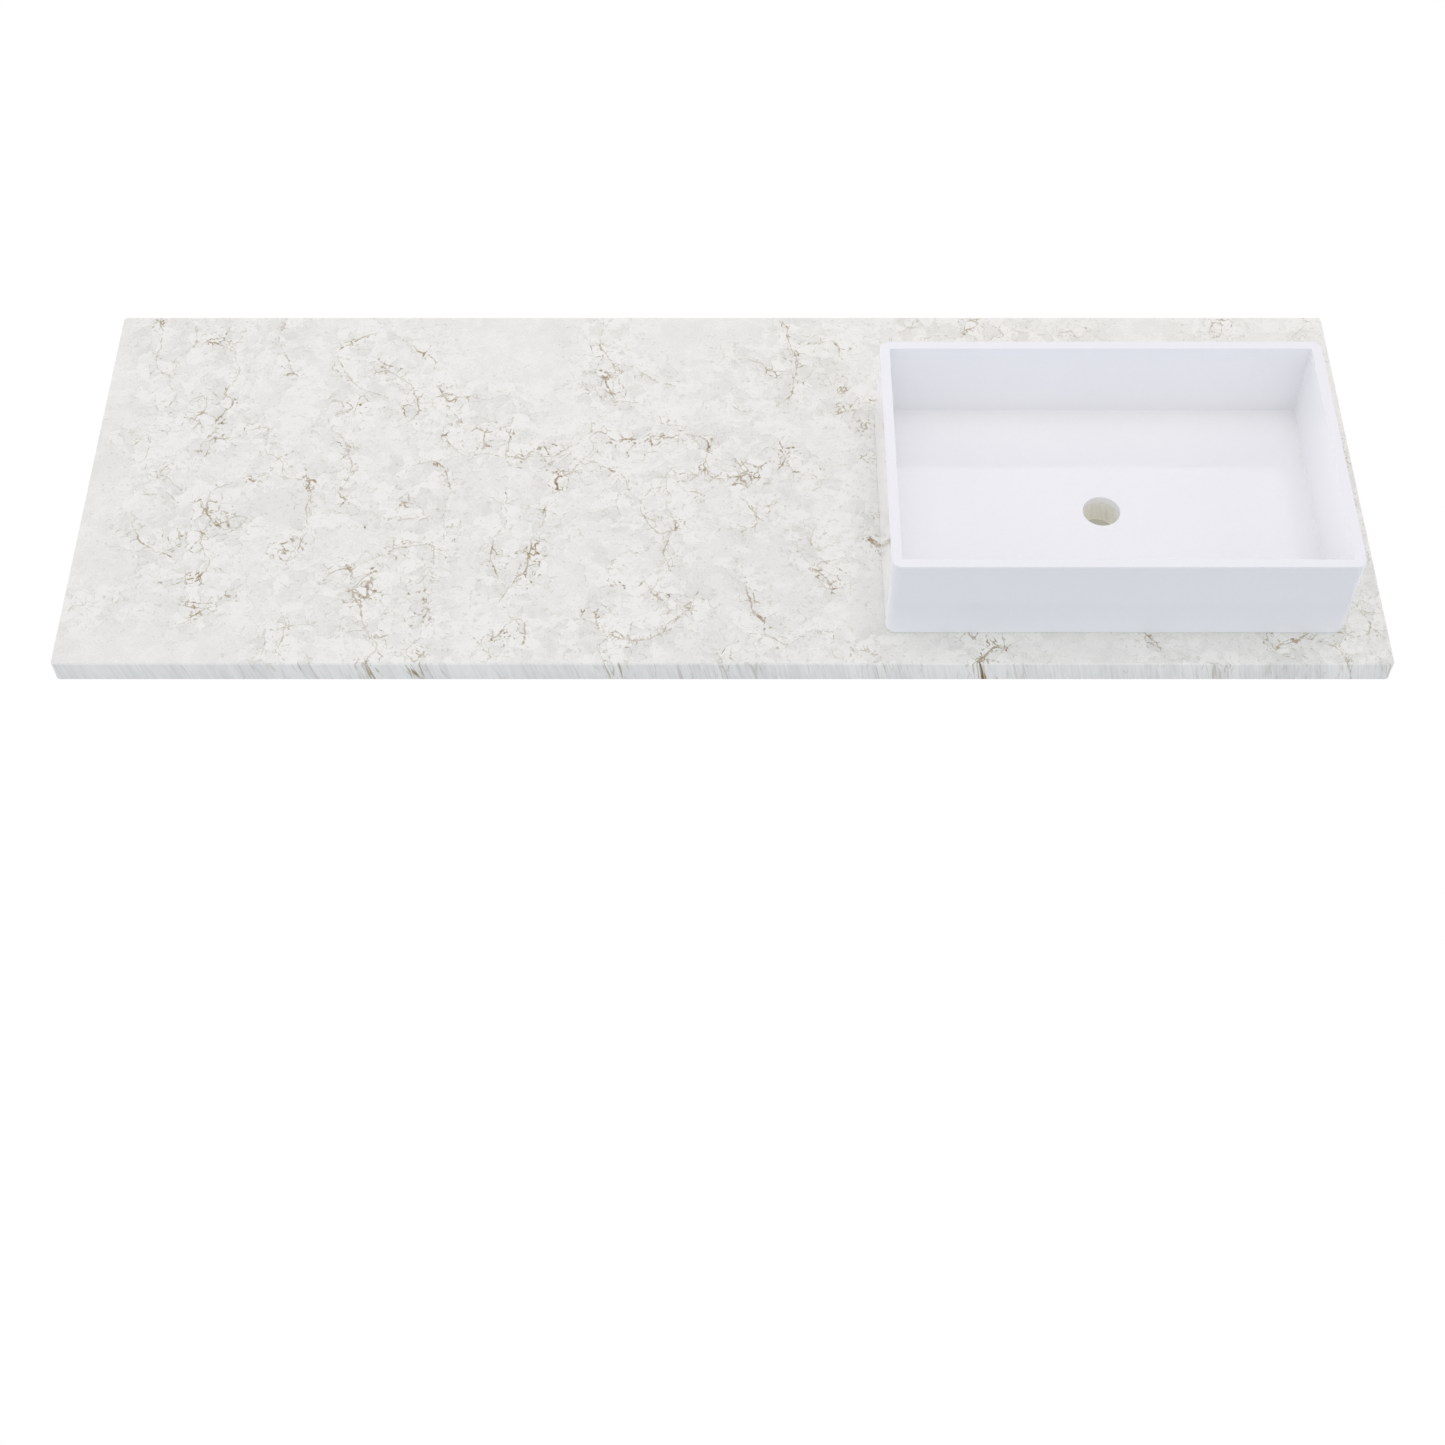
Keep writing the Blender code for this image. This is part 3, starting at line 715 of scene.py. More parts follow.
    @staticmethod
    def broken(sheet: NodeSheet, line: object, dash: object, threshold: object) -> Socket:
        """Break a line's mask up, so that it is seen only where a noise passes a threshold."""
        passed = sheet.less(dash, threshold)
        return sheet.times(line, sheet.span(passed, 0.0, 0.05))


@dataclass(frozen=True)
class QuartzFinish:
    """How one cut of the quartz looks and shines."""

    cut: StoneCut
    tint_and_painted_light: Colour
    tinted: float
    drag: float
    roughness: float
    relief: float
    cloud_dullness: float = 0.05
    vein_dullness: float = 0.18
    vein_depth: float = -0.8
    line_scale: Triple = (380.0, 380.0, 110.0)

    def dress(self, figure: Tree, grain: Tree, top: float) -> bpy.types.Material:
        """Make the material.

        Args:
            figure: the stone's figure.
            grain: the grain of filled resin.
            top: the height of the slab's top, from which the veins lean.

        Returns:
            The material.
        """
        material, sheet, shader = new_material(self.cut.value)
        place = sheet.add("ShaderNodeTexCoord").outputs["Object"]
        along, across, up = sheet.channels(place)
        lean = sheet.times(sheet.less(up, top), VEIN_LEAN)
        squeezed = sheet.add("ShaderNodeCombineXYZ")
        sheet.apply(squeezed, (sheet.plus(along, lean), across, sheet.times(lean, 0.5)))
        vein = sheet.add("ShaderNodeAttribute", attribute_name=VEIN_FIELD)
        pebble = sheet.add("ShaderNodeAttribute", attribute_name=PEBBLE_FIELD)
        stone = sheet.group(
            figure, place=squeezed.outputs[0], vein=vein.outputs["Vector"], pebble=pebble.outputs["Vector"])
        fine = sheet.group(grain, place=place)
        drawn = sheet.vectors("MULTIPLY", squeezed.outputs[0], self.line_scale)
        lines, _ = sheet.noise(drawn, 1.0, 3.0)
        shade = sheet.span(lines, 0.34, 0.66, 1.0 - self.drag, 1.0 + 0.35 * self.drag)
        bands = sheet.add("ShaderNodeCombineColor")
        for socket in bands.inputs:
            sheet.feed(socket, shade)
        colour = sheet.blend(1.0, stone.outputs["Colour"], bands.outputs[0], "MULTIPLY")
        # The tint gives the sawn underside its duller tone; on the edges and the bore it goes above 1 as
        # painted light, which brightens faces that the lamps leave darker.
        colour = sheet.blend(self.tinted, colour, self.tint_and_painted_light, "MULTIPLY")
        sheet.feed(shader.inputs["Base Color"], colour)
        dull = sheet.rise(fine.outputs["Clouds"], self.cloud_dullness, self.roughness)
        dull = sheet.rise(stone.outputs["Veins"], self.vein_dullness, dull)
        sheet.feed(shader.inputs["Roughness"], dull)
        sink = sheet.rise(stone.outputs["Veins"], self.vein_depth, fine.outputs["Height"])
        bump(sheet, shader, sink, self.relief)
        return material


@dataclass(frozen=True)
class ResinFinish:
    """A pale filled resin or silicone with a fine speckle."""

    name: str
    colour: Colour
    shade: Colour
    roughness: float
    relief: float

    def dress(self, grain: Tree) -> bpy.types.Material:
        """Make the material.

        Args:
            grain: the grain of filled resin.

        Returns:
            The material.
        """
        material, sheet, shader = new_material(self.name)
        place = sheet.add("ShaderNodeTexCoord").outputs["Object"]
        fine = sheet.group(grain, place=place)
        share = sheet.times(fine.outputs["Speckle"], 0.6)
        share = sheet.rise(fine.outputs["Clouds"], 0.4, share)
        sheet.feed(shader.inputs["Base Color"], sheet.blend(share, self.colour, self.shade))
        rubbed, _ = sheet.noise(sheet.vectors("MULTIPLY", place, (60.0, 190.0, 60.0)), 1.0, 3.0)
        dull = sheet.rise(rubbed, 0.04, self.roughness)
        sheet.feed(shader.inputs["Roughness"], dull)
        bump(sheet, shader, fine.outputs["Height"], self.relief)
        return material


def new_material(name: str) -> tuple:
    """Start a material on the Principled shader.

    Args:
        name: the material's name.

    Returns:
        The material, its sheet and its shader node.
    """
    material = bpy.data.materials.new(name)
    material.use_nodes = True
    sheet = NodeSheet(material.node_tree)
    shader = material.node_tree.nodes["Principled BSDF"]
    return material, sheet, shader


def bump(sheet: NodeSheet, shader: bpy.types.Node, height: object, relief: float) -> None:
    """Raise a surface by a height map.

    Args:
        sheet: the material's sheet.
        shader: the material's shader.
        height: the height, from 0 to 1.
        relief: how far 1 stands out, in metres.
    """
    node = sheet.add("ShaderNodeBump")
    node.inputs["Strength"].default_value = 1.0
    node.inputs["Distance"].default_value = relief
    sheet.feed(node.inputs["Height"], height)
    sheet.feed(shader.inputs["Normal"], node.outputs["Normal"])


class Bench:
    """One workpiece in edit mode, and the tools that shape it."""

    def __init__(self, name: str) -> None:
        """Take the primitive that was just added as the workpiece.

        Args:
            name: the piece's name.
        """
        self.piece = bpy.context.active_object
        self.piece.name = name
        self.piece.data.name = name
        bpy.ops.object.mode_set(mode="EDIT")
        bpy.ops.mesh.select_all(action="SELECT")

    @classmethod
    def block(cls, name: str, low: Vector, high: Vector) -> "Bench":
        """Start a workpiece as a block of its own size.

        Args:
            name: the piece's name.
            low: the block's lowest corner.
            high: its highest corner.

        Returns:
            The bench with the block on it.
        """
        bpy.ops.object.select_all(action="DESELECT")
        bpy.ops.mesh.primitive_cube_add(size=1.0, location=(0.0, 0.0, 0.0))
        bench = cls(name)
        bpy.ops.transform.resize(value=tuple(high - low), center_override=(0.0, 0.0, 0.0))
        bpy.ops.transform.translate(value=tuple((low + high) / 2))
        return bench

    @classmethod
    def bar(cls, name: str, axis: Vector, radius: float, low: float, high: float, sides: int) -> "Bench":
        """Start a workpiece as a round upright bar.

        Args:
            name: the piece's name.
            axis: the bar's axis.
            radius: its radius.
            low: where it starts.
            high: where it ends.
            sides: how many sides it has.

        Returns:
            The bench with the bar on it.
        """
        bpy.ops.object.select_all(action="DESELECT")
        bpy.ops.mesh.primitive_cylinder_add(vertices=sides, radius=radius, depth=high - low)
        bench = cls(name)
        bpy.ops.transform.translate(value=(axis.x, axis.y, (low + high) / 2))
        return bench

    @property
    def sheet(self) -> bmesh.types.BMesh:
        """Give the mesh in edit mode."""
        return bmesh.from_edit_mesh(self.piece.data)

    def pick(self, kind: Pick, wanted: Callable[[object], bool]) -> int:
        """Pick faces or edges and nothing else.

        Args:
            kind: what is picked.
            wanted: says of each face or edge whether it is picked.

        Returns:
            How many were picked.
        """
        bpy.ops.mesh.select_mode(type=kind.value)
        bpy.ops.mesh.select_all(action="DESELECT")
        mesh = self.sheet
        parts = mesh.faces if kind is Pick.FACE else mesh.edges
        chosen = [part for part in parts if not part.hide and wanted(part)]
        for part in chosen:
            part.select_set(True)
        bmesh.update_edit_mesh(self.piece.data)
        if not chosen:
            raise ValueError(f"nothing to pick on {self.piece.name}")
        return len(chosen)

    def ease(self, wanted: Callable[[bmesh.types.BMEdge], bool], width: float, segments: int) -> None:
        """Round edges off.

        Args:
            wanted: says which edges.
            width: how wide the rounding is.
            segments: how many facets it has.
        """
        self.pick(Pick.EDGE, wanted)
        bpy.ops.mesh.bevel(offset=width, segments=segments, profile=0.5, affect="EDGES", clamp_overlap=False)

    def flare(self, facing: float, size: Vector, middle: Vector, arris: float, segments: int) -> None:
        """Grow one end of a cutting tool in a quarter round, which eases the edge that it leaves.

        Args:
            facing: 1 for the upper end, -1 for the lower end.
            size: the end's length and depth.
            middle: the tool's axis.
            arris: the radius of the quarter round.
            segments: how many facets it has.
        """
        self.pick(Pick.FACE, lambda face: face.normal.z * facing > LEVEL_NORMAL)
        wide, rise = 0.0, 0.0
        for index in range(1, segments + 1):
            angle = math.pi / 2 * index / segments
            reach, level = arris * (1.0 - math.cos(angle)), arris * math.sin(angle)
            lift = (0.0, 0.0, (level - rise) * facing)
            bpy.ops.mesh.extrude_region_move(TRANSFORM_OT_translate={"value": lift})
            growth = [(length + 2 * reach) / (length + 2 * wide) for length in size.xy]
            bpy.ops.transform.resize(value=(*growth, 1.0), center_override=(middle.x, middle.y, 0.0))
            wide, rise = reach, level
        bpy.ops.mesh.extrude_region_move(TRANSFORM_OT_translate={"value": (0.0, 0.0, TOOL_PROUD * facing)})

    def rule(self, axis: Vector, stops: Iterable[float]) -> None:
        """Cut the faces that aren't hidden along parallel lines.

        Args:
            axis: the direction in which the lines follow each other.
            stops: where they lie.
        """
        for stop in stops:
            bpy.ops.mesh.select_all(action="SELECT")
            bpy.ops.mesh.bisect(plane_co=axis * stop, plane_no=axis)

    def quarter(self, centre: Vector) -> None:
        """Divide the faces along both axes of a hole, so that none of them goes all round it.

        Args:
            centre: the hole's axis.
        """
        self.rule(ALONG, (centre.x,))
        self.rule(ACROSS, (centre.y,))

    def leave(self) -> Piece:
        """Leave edit mode with the normals outwards.

        Returns:
            The workpiece.
        """
        bpy.ops.mesh.reveal(select=False)
        bpy.ops.mesh.select_all(action="SELECT")
        bpy.ops.mesh.remove_doubles(threshold=MERGE_GAP)
        bpy.ops.mesh.normals_make_consistent(inside=False)
        bpy.ops.object.mode_set(mode="OBJECT")
        return self.piece

    def resume(self) -> None:
        """Go back to shaping the workpiece."""
        select_only(self.piece)
        bpy.ops.object.mode_set(mode="EDIT")

    def cut_with(self, tool: Piece) -> None:
        """Take the tool's volume out of the workpiece, which has left edit mode.

        Args:
            tool: the solid to cut with, which is used up.
        """
        select_only(self.piece)
        cut = self.piece.modifiers.new("cut", "BOOLEAN")
        cut.operation = "DIFFERENCE"
        cut.solver = "MANIFOLD"
        cut.object = tool
        bpy.ops.object.modifier_apply(modifier=cut.name)
        bpy.data.objects.remove(tool)
        self.piece.data.materials.clear()

    def finish(self) -> Piece:
        """Shade the piece smooth over its rounded edges and keep its flats flat.

        Returns:
            The finished piece.
        """
        select_only(self.piece)
        bpy.ops.object.shade_smooth_by_angle(angle=SHARP)
        weighted = self.piece.modifiers.new("flat faces lead", "WEIGHTED_NORMAL")
        weighted.keep_sharp = True
        bpy.ops.object.modifier_apply(modifier=weighted.name)
        return self.piece


def select_only(piece: Piece) -> None:
    """Make one object the active and only selected one."""
    bpy.ops.object.select_all(action="DESELECT")
    piece.select_set(True)
    bpy.context.view_layer.objects.active = piece


def upright(edge: bmesh.types.BMEdge) -> bool:
    """Say whether an edge stands upright at a corner."""
    run = edge.verts[1].co - edge.verts[0].co
    return abs(run.z) > UPRIGHT_SHARE * run.length and edge.calc_face_angle(0.0) > SHARP


def corner_at(height: float) -> Callable[[bmesh.types.BMEdge], bool]:
    """Make a test for sharp edges at one height.

    Args:
        height: the height of the edges.

    Returns:
        The test.
    """
    def wanted(edge: bmesh.types.BMEdge) -> bool:
        """Say whether the edge passes."""
        level = all(abs(vert.co.z - height) < SAME_HEIGHT for vert in edge.verts)
        return level and edge.calc_face_angle(0.0) > SHARP

    return wanted


def settle(piece: Piece, nodes: Sequence[str]) -> None:
    """Tell the frame what a finished piece stands for.

    Args:
        piece: the piece.
        nodes: the CAD nodes that it replaces.
    """
    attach(piece, BODY)
    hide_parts(*nodes)
    LOG.info("%s: %d faces, for %s", piece.name, len(piece.data.polygons), ", ".join(nodes))


@dataclass
class Drain:
    """The hole that passes through the basin's floor and the slab."""

    centre: Vector
    radius: float = 22.25 * MM
    arris: float = 0.5 * MM
    sides: int = 128

    def tool(self, low: float, high: float, slack: float = 0.0) -> Piece:
        """Make the round bar that bores the hole and eases its two edges.

        Args:
            low: the height of the face where the hole ends.
            high: the height of the face where it starts.
            slack: how much wider than the drain the hole is.

        Returns:
            The bar.
        """
        radius = self.radius + slack
        arris = min(self.arris, (high - low) / 4)
        start = arris * FLARE_START
        bench = Bench.bar("drain_tool", self.centre, radius, low + start, high - start, self.sides)
        size = Vector((2 * radius, 2 * radius))
        bench.flare(1.0, size, self.centre, arris, 4)
        bench.flare(-1.0, size, self.centre, arris, 4)
        return bench.leave()


@dataclass
class StoneSlab:
    """The quartz slab: its eased edges, the drain hole through it and the field of its veins."""

    low: Vector
    high: Vector
    drain: Drain
    corner_radius: float = 5 * MM
    top_arris: float = 2 * MM
    underside_arris: float = 1 * MM
    field_step: float = 5 * MM
    trail_step: float = 5 * MM
    stray_scale: float = 45.0
    stray: float = 4 * MM

    def build(self) -> Piece:
        """Model the slab.

        Returns:
            The slab's piece.
        """
        bench = Bench.block("quartz_slab", self.low, self.high)
        bench.ease(upright, self.corner_radius, 6)
        bench.ease(corner_at(self.high.z), self.top_arris, 4)
        bench.ease(corner_at(self.low.z), self.underside_arris, 2)
        bench.quarter(self.drain.centre)
        bench.leave()
        bench.cut_with(self.drain.tool(self.low.z, self.high.z))
        bench.resume()
        self.rule_field(bench)
        bench.leave()
        piece = bench.finish()
        self.mark_veins(piece)
        return piece

    def rule_field(self, bench: Bench) -> None:
        """Divide the top and the outer edges finely enough to carry the veins' field.

        Args:
            bench: the slab on its bench.
        """
        bench.pick(Pick.FACE, self.is_plain)
        bpy.ops.mesh.hide(unselected=False)
        for axis, low, high in ((ALONG, self.low.x, self.high.x), (ACROSS, self.low.y, self.high.y)):
            count = round((high - low) / self.field_step)
            step = (high - low) / count
            bench.rule(axis, [low + step * index for index in range(1, count)])

    def is_plain(self, face: bmesh.types.BMFace) -> bool:
        """Say whether a face carries no veins' field: the underside or the bore."""
        return face.normal.z < -LEVEL_NORMAL or self.in_bore(face.calc_center_median())

    def in_bore(self, spot: Vector) -> bool:
        """Say whether a point lies on the drain hole's wall or its eased edges."""
        return (spot - self.drain.centre).xy.length < self.drain.radius + self.drain.arris

    def mark_veins(self, piece: Piece) -> None:
        """Write into the mesh how each point lies against the nearest vein and the nearest pebble.

        Args:
            piece: the slab's piece.
        """
        mesh = piece.data
        spots = np.empty(len(mesh.vertices) * 3)
        mesh.vertices.foreach_get("co", spots)
        spots = spots.reshape(-1, 3)
        plan = np.stack((spots[:, 0] + (spots[:, 2] - self.high.z) * VEIN_LEAN, spots[:, 1]), axis=1)
        noise.seed_set(VEIN_SEED)
        reach = np.full(len(plan), VEIN_REACH)
        side = np.full(len(plan), VEIN_REACH)
        strength = np.zeros(len(plan))
        for route in VEIN_PLAN:
            trail = self.wander(route)
            for start, end in zip(trail[:-1], trail[1:]):
                run = end - start
                share = np.clip(((plan - start) @ run) / (run @ run), 0.0, 1.0)
                away = plan - (start + share[:, None] * run)
                distance = np.hypot(away[:, 0], away[:, 1])
                turn = run[0] * away[:, 1] - run[1] * away[:, 0]
                nearer = distance < reach
                reach[nearer] = distance[nearer]
                side[nearer] = np.where(turn[nearer] < 0.0, -distance[nearer], distance[nearer])
                strength[nearer] = route.strength
        field = mesh.attributes.new(VEIN_FIELD, "FLOAT_VECTOR", "POINT")
        field.data.foreach_set("vector", np.stack((side, reach, strength), axis=1).astype(np.float32).ravel())
        outside, depth = np.full(len(plan), VEIN_REACH), np.zeros(len(plan))
        for pebble in PEBBLE_PLAN:
            half = np.array(pebble.reach) * MM
            away = (plan - np.array(pebble.middle) * MM) / half
            apart = (np.hypot(away[:, 0], away[:, 1]) - 1.0) * half.min()
            depth = np.where(apart < outside, pebble.depth, depth)
            outside = np.minimum(outside, apart)
        field = mesh.attributes.new(PEBBLE_FIELD, "FLOAT_VECTOR", "POINT")
        rows = np.stack((outside, depth, np.zeros(len(plan))), axis=1)
        field.data.foreach_set("vector", rows.astype(np.float32).ravel())

    def wander(self, route: VeinRoute) -> list[np.ndarray]:
        """Turn a route's few points into a trail that bends as a vein does.

        Args:
            route: the vein's route.

        Returns:
            The trail's points in metres.
        """
        points = [np.array(point) * MM for point in route.points]
        trail = []
        for index in range(len(points) - 1):
            before = points[max(index - 1, 0)]
            start, end = points[index], points[index + 1]
            after = points[min(index + 2, len(points) - 1)]
            pieces = max(2, round(float(np.hypot(*(end - start))) / self.trail_step))
            for step in range(pieces):
                t = step / pieces
                curve = 2 * start + (end - before) * t + (2 * before - 5 * start + 4 * end - after) * t ** 2
                curve = (curve + (3 * start - before - 3 * end + after) * t ** 3) / 2
                stray = noise.noise_vector(Vector((*(curve * self.stray_scale), 0.0)))
                trail.append(curve + np.array((stray.x, stray.y)) * self.stray)
        trail.append(points[-1])
        return trail

    def dress(self, piece: Piece, figure: Tree, grain: Tree) -> None:
        """Give each cut of the slab its finish.

        Args:
            piece: the slab's piece.
            figure: the stone's figure.
            grain: the grain of filled resin.
        """
        finishes = (
            QuartzFinish(StoneCut.POLISHED, (1.0, 1.0, 1.0), 0.0, 0.0, 0.30, 0.02 * MM),
            # The edge's and the bore's tints above 1 are painted light, which brightens these faces; the
            # underside's tint is its duller sawn tone.
            QuartzFinish(StoneCut.EDGE, (1.144, 1.142, 1.146), 1.0, 0.06, 0.34, 0.03 * MM),
            QuartzFinish(StoneCut.SAWN, (0.80, 0.79, 0.76), 1.0, 0.10, 0.75, 0.20 * MM),
            QuartzFinish(StoneCut.BORED, (1.12, 1.11, 1.09), 1.0, 0.05, 0.50, 0.08 * MM))
        order = {}
        for index, finish in enumerate(finishes):
            piece.data.materials.append(finish.dress(figure, grain, self.high.z))
            order[finish.cut] = index
        for face in piece.data.polygons:
            face.material_index = order[self.cut_of(face)]

    def cut_of(self, face: bpy.types.MeshPolygon) -> StoneCut:
        """Say how a face of the slab was cut."""
        if self.in_bore(face.center) and abs(face.normal.z) < LEVEL_NORMAL:
            return StoneCut.BORED
        if face.normal.z > SLOPED_NORMAL:
            return StoneCut.POLISHED
        if face.normal.z < -SLOPED_NORMAL:
            return StoneCut.SAWN
        return StoneCut.EDGE


@dataclass
class FabricatedBasin:
    """The basin as one shell: four straight walls of sheet round a floor that falls to the drain."""

    low: Vector
    high: Vector
    floor_height: float
    drain: Drain
    wall: float = SHEET_THICKNESS
    outer_radius: float = 12 * MM
    inner_radius: float = 1.5 * MM
    floor_fillet: float = 1 * MM
    rim_arris: float = 0.8 * MM
    foot_arris: float = 0.5 * MM
    level_margin: float = 6 * MM
    fall: float = 1.5 * MM
    flat_length: float = 120 * MM
    flat_depth: float = 78 * MM
    fall_lead: float = 1 * MM

    def build(self) -> Piece:
        """Model the basin.

        Returns:
            The basin's piece.
        """
        bench = Bench.block("basin_shell", self.low, self.high)
        bench.ease(upright, self.outer_radius, 14)
        bench.ease(corner_at(self.high.z), self.rim_arris, 4)
        bench.ease(corner_at(self.low.z), self.foot_arris, 2)
        bench.quarter(self.drain.centre)
        bench.leave()
        bench.cut_with(self.bowl_tool())
        bench.cut_with(self.fall_tool())
        bench.cut_with(self.drain.tool(self.low.z, self.floor_height - self.fall))
        bench.resume()
        bench.leave()
        return bench.finish()

    def bowl_tool(self) -> Piece:
        """Make the solid that the bowl is cut with.

        Returns:
            The solid, flared at the rim and rounded at its foot.
        """
        inset = Vector((self.wall, self.wall, 0.0))
        low = self.low + inset
        low.z = self.floor_height
        high = self.high - inset
        high.z -= self.rim_arris * FLARE_START
        middle = (low + high) / 2
        bench = Bench.block("bowl_tool", low, high)
        bench.ease(upright, self.inner_radius, 4)
        bench.flare(1.0, high - low, middle, self.rim_arris, 4)
        bench.ease(corner_at(low.z), self.floor_fillet, 3)
        bench.quarter(self.drain.centre)
        return bench.leave()

    def fall_tool(self) -> Piece:
        """Make the solid that the floor's fall is cut with.

        Returns:
            The solid, which narrows from the floor's level margin to the flat round the drain.
        """
        inset = Vector((self.wall + self.level_margin, self.wall + self.level_margin, 0.0))
        low, high = self.low + inset, self.high - inset
        low.z, high.z = self.floor_height - self.fall, self.floor_height
        middle, size = (low + high) / 2, high - low
        bench = Bench.block("fall_tool", low, high)
        bench.pick(Pick.FACE, lambda face: face.normal.z < -LEVEL_NORMAL)
        shrink = (self.flat_length / size.x, self.flat_depth / size.y, 1.0)
        bpy.ops.transform.resize(value=shrink, center_override=(middle.x, middle.y, low.z))
        shift = self.drain.centre - middle
        bpy.ops.transform.translate(value=(shift.x, shift.y, 0.0))
        bench.pick(Pick.FACE, lambda face: face.normal.z > LEVEL_NORMAL)
        grown = (size.x + 2 * self.fall_lead) / size.x, (size.y + 2 * self.fall_lead) / size.y, 1.0
        bpy.ops.mesh.extrude_region_move(TRANSFORM_OT_translate={"value": (0.0, 0.0, self.fall_lead / 50)})
        bpy.ops.transform.resize(value=grown, center_override=(middle.x, middle.y, high.z))
        bench.quarter(self.drain.centre)
        return bench.leave()

    def dress(self, piece: Piece, grain: Tree) -> None:
        """Finish the basin in white solid surface.

        Args:
            piece: the basin's piece.
            grain: the grain of filled resin.
        """
        finishes = (
            ResinFinish(
                ResinFace.SHEET.value, (0.946, 0.950, 0.972), (0.921, 0.925, 0.947), 0.03, 0.0010 * MM),
            # The rim's darker colour is painted shade, which dims the top faces that the lamps light
            # brightest.
            ResinFinish(
                ResinFace.RIM.value, (0.878, 0.885, 0.918), (0.856, 0.862, 0.894), 0.10, 0.0020 * MM),
            # The fillet at the floor's foot is painted lighter, a painted highlight for the thin line of
            # light that it catches.
            ResinFinish(
                ResinFace.SEAM.value, (0.958, 0.962, 0.988), (0.940, 0.945, 0.970), 0.14, 0.0020 * MM))
        order = {}
        for index, finish in enumerate(finishes):
            piece.data.materials.append(finish.dress(grain))
            order[finish.name] = index
        for face in piece.data.polygons:
            face.material_index = order[self.kind_of(face).value]

    def kind_of(self, face: bpy.types.MeshPolygon) -> ResinFace:
        """Say which part of the basin a face belongs to."""
        # Faces at the rim take the darker colour of painted shade.
        if face.center.z > self.high.z - self.rim_arris:
            return ResinFace.RIM
        above = face.center.z - self.floor_height
        # The fillet's faces take the lighter colour of a painted highlight.
        if 0.0 < above < self.floor_fillet and 0.1 < face.normal.z < LEVEL_NORMAL:
            return ResinFace.SEAM
        return ResinFace.SHEET


@dataclass
class SealantJoints:
    """The beads of silicone that bed the basin on the slab, round its foot and round the drain."""

    slab_top: float
    foot: float
    basin_low: Vector
    basin_high: Vector
    drain: Drain
    bead_width: float = 10 * MM
    set_back: float = 0.25 * MM
    outer_radius: float = 12 * MM
    inner_radius: float = 2 * MM
    ring_width: float = 9 * MM
    tooling: float = 0.15 * MM

    def build(self) -> tuple[Piece, Piece]:
        """Model both beads.

        Returns:
            The bead round the foot and the bead round the drain.
        """
        return self.foot_bead(), self.drain_bead()

    def foot_bead(self) -> Piece:
        """Model the bead round the basin's foot."""
        edge = Vector((self.set_back, self.set_back, 0.0))
        low, high = self.basin_low + edge, self.basin_high - edge
        low.z, high.z = self.slab_top, self.foot
        bench = Bench.block("foot_bead", low, high)
        bench.ease(upright, self.outer_radius - self.set_back, 14)
        bench.ease(corner_at(self.slab_top), self.tooling, 2)
        bench.ease(corner_at(self.foot), self.tooling, 2)
        bench.quarter(self.drain.centre)
        bench.leave()
        inner = Vector((self.bead_width, self.bead_width, 0.0))
        tall = Vector((0.0, 0.0, 2 * MM))
        tool = Bench.block("bead_tool", low + inner - tall, high - inner + tall)
        tool.ease(upright, self.inner_radius, 4)
        bench.cut_with(tool.leave())
        return bench.finish()

    def drain_bead(self) -> Piece:
        """Model the bead round the drain hole."""
        outer = self.drain.radius + self.ring_width
        bench = Bench.bar("drain_bead", self.drain.centre, outer, self.slab_top, self.foot, self.drain.sides)
        bench.ease(corner_at(self.slab_top), self.tooling, 2)
        bench.ease(corner_at(self.foot), self.tooling, 2)
        bench.quarter(self.drain.centre)
        bench.leave()
        bench.cut_with(self.drain.tool(self.slab_top, self.foot, self.set_back))
        return bench.finish()

    def dress(self, pieces: Sequence[Piece], grain: Tree) -> None:
        """Finish the beads in pale silicone.

        Args:
            pieces: the two beads.
            grain: the grain of filled resin.
        """
        finish = ResinFinish("pale_silicone", (0.80, 0.80, 0.79), (0.76, 0.76, 0.75), 0.42, 0.02 * MM)
        material = finish.dress(grain)
        for piece in pieces:
            piece.data.materials.append(material)


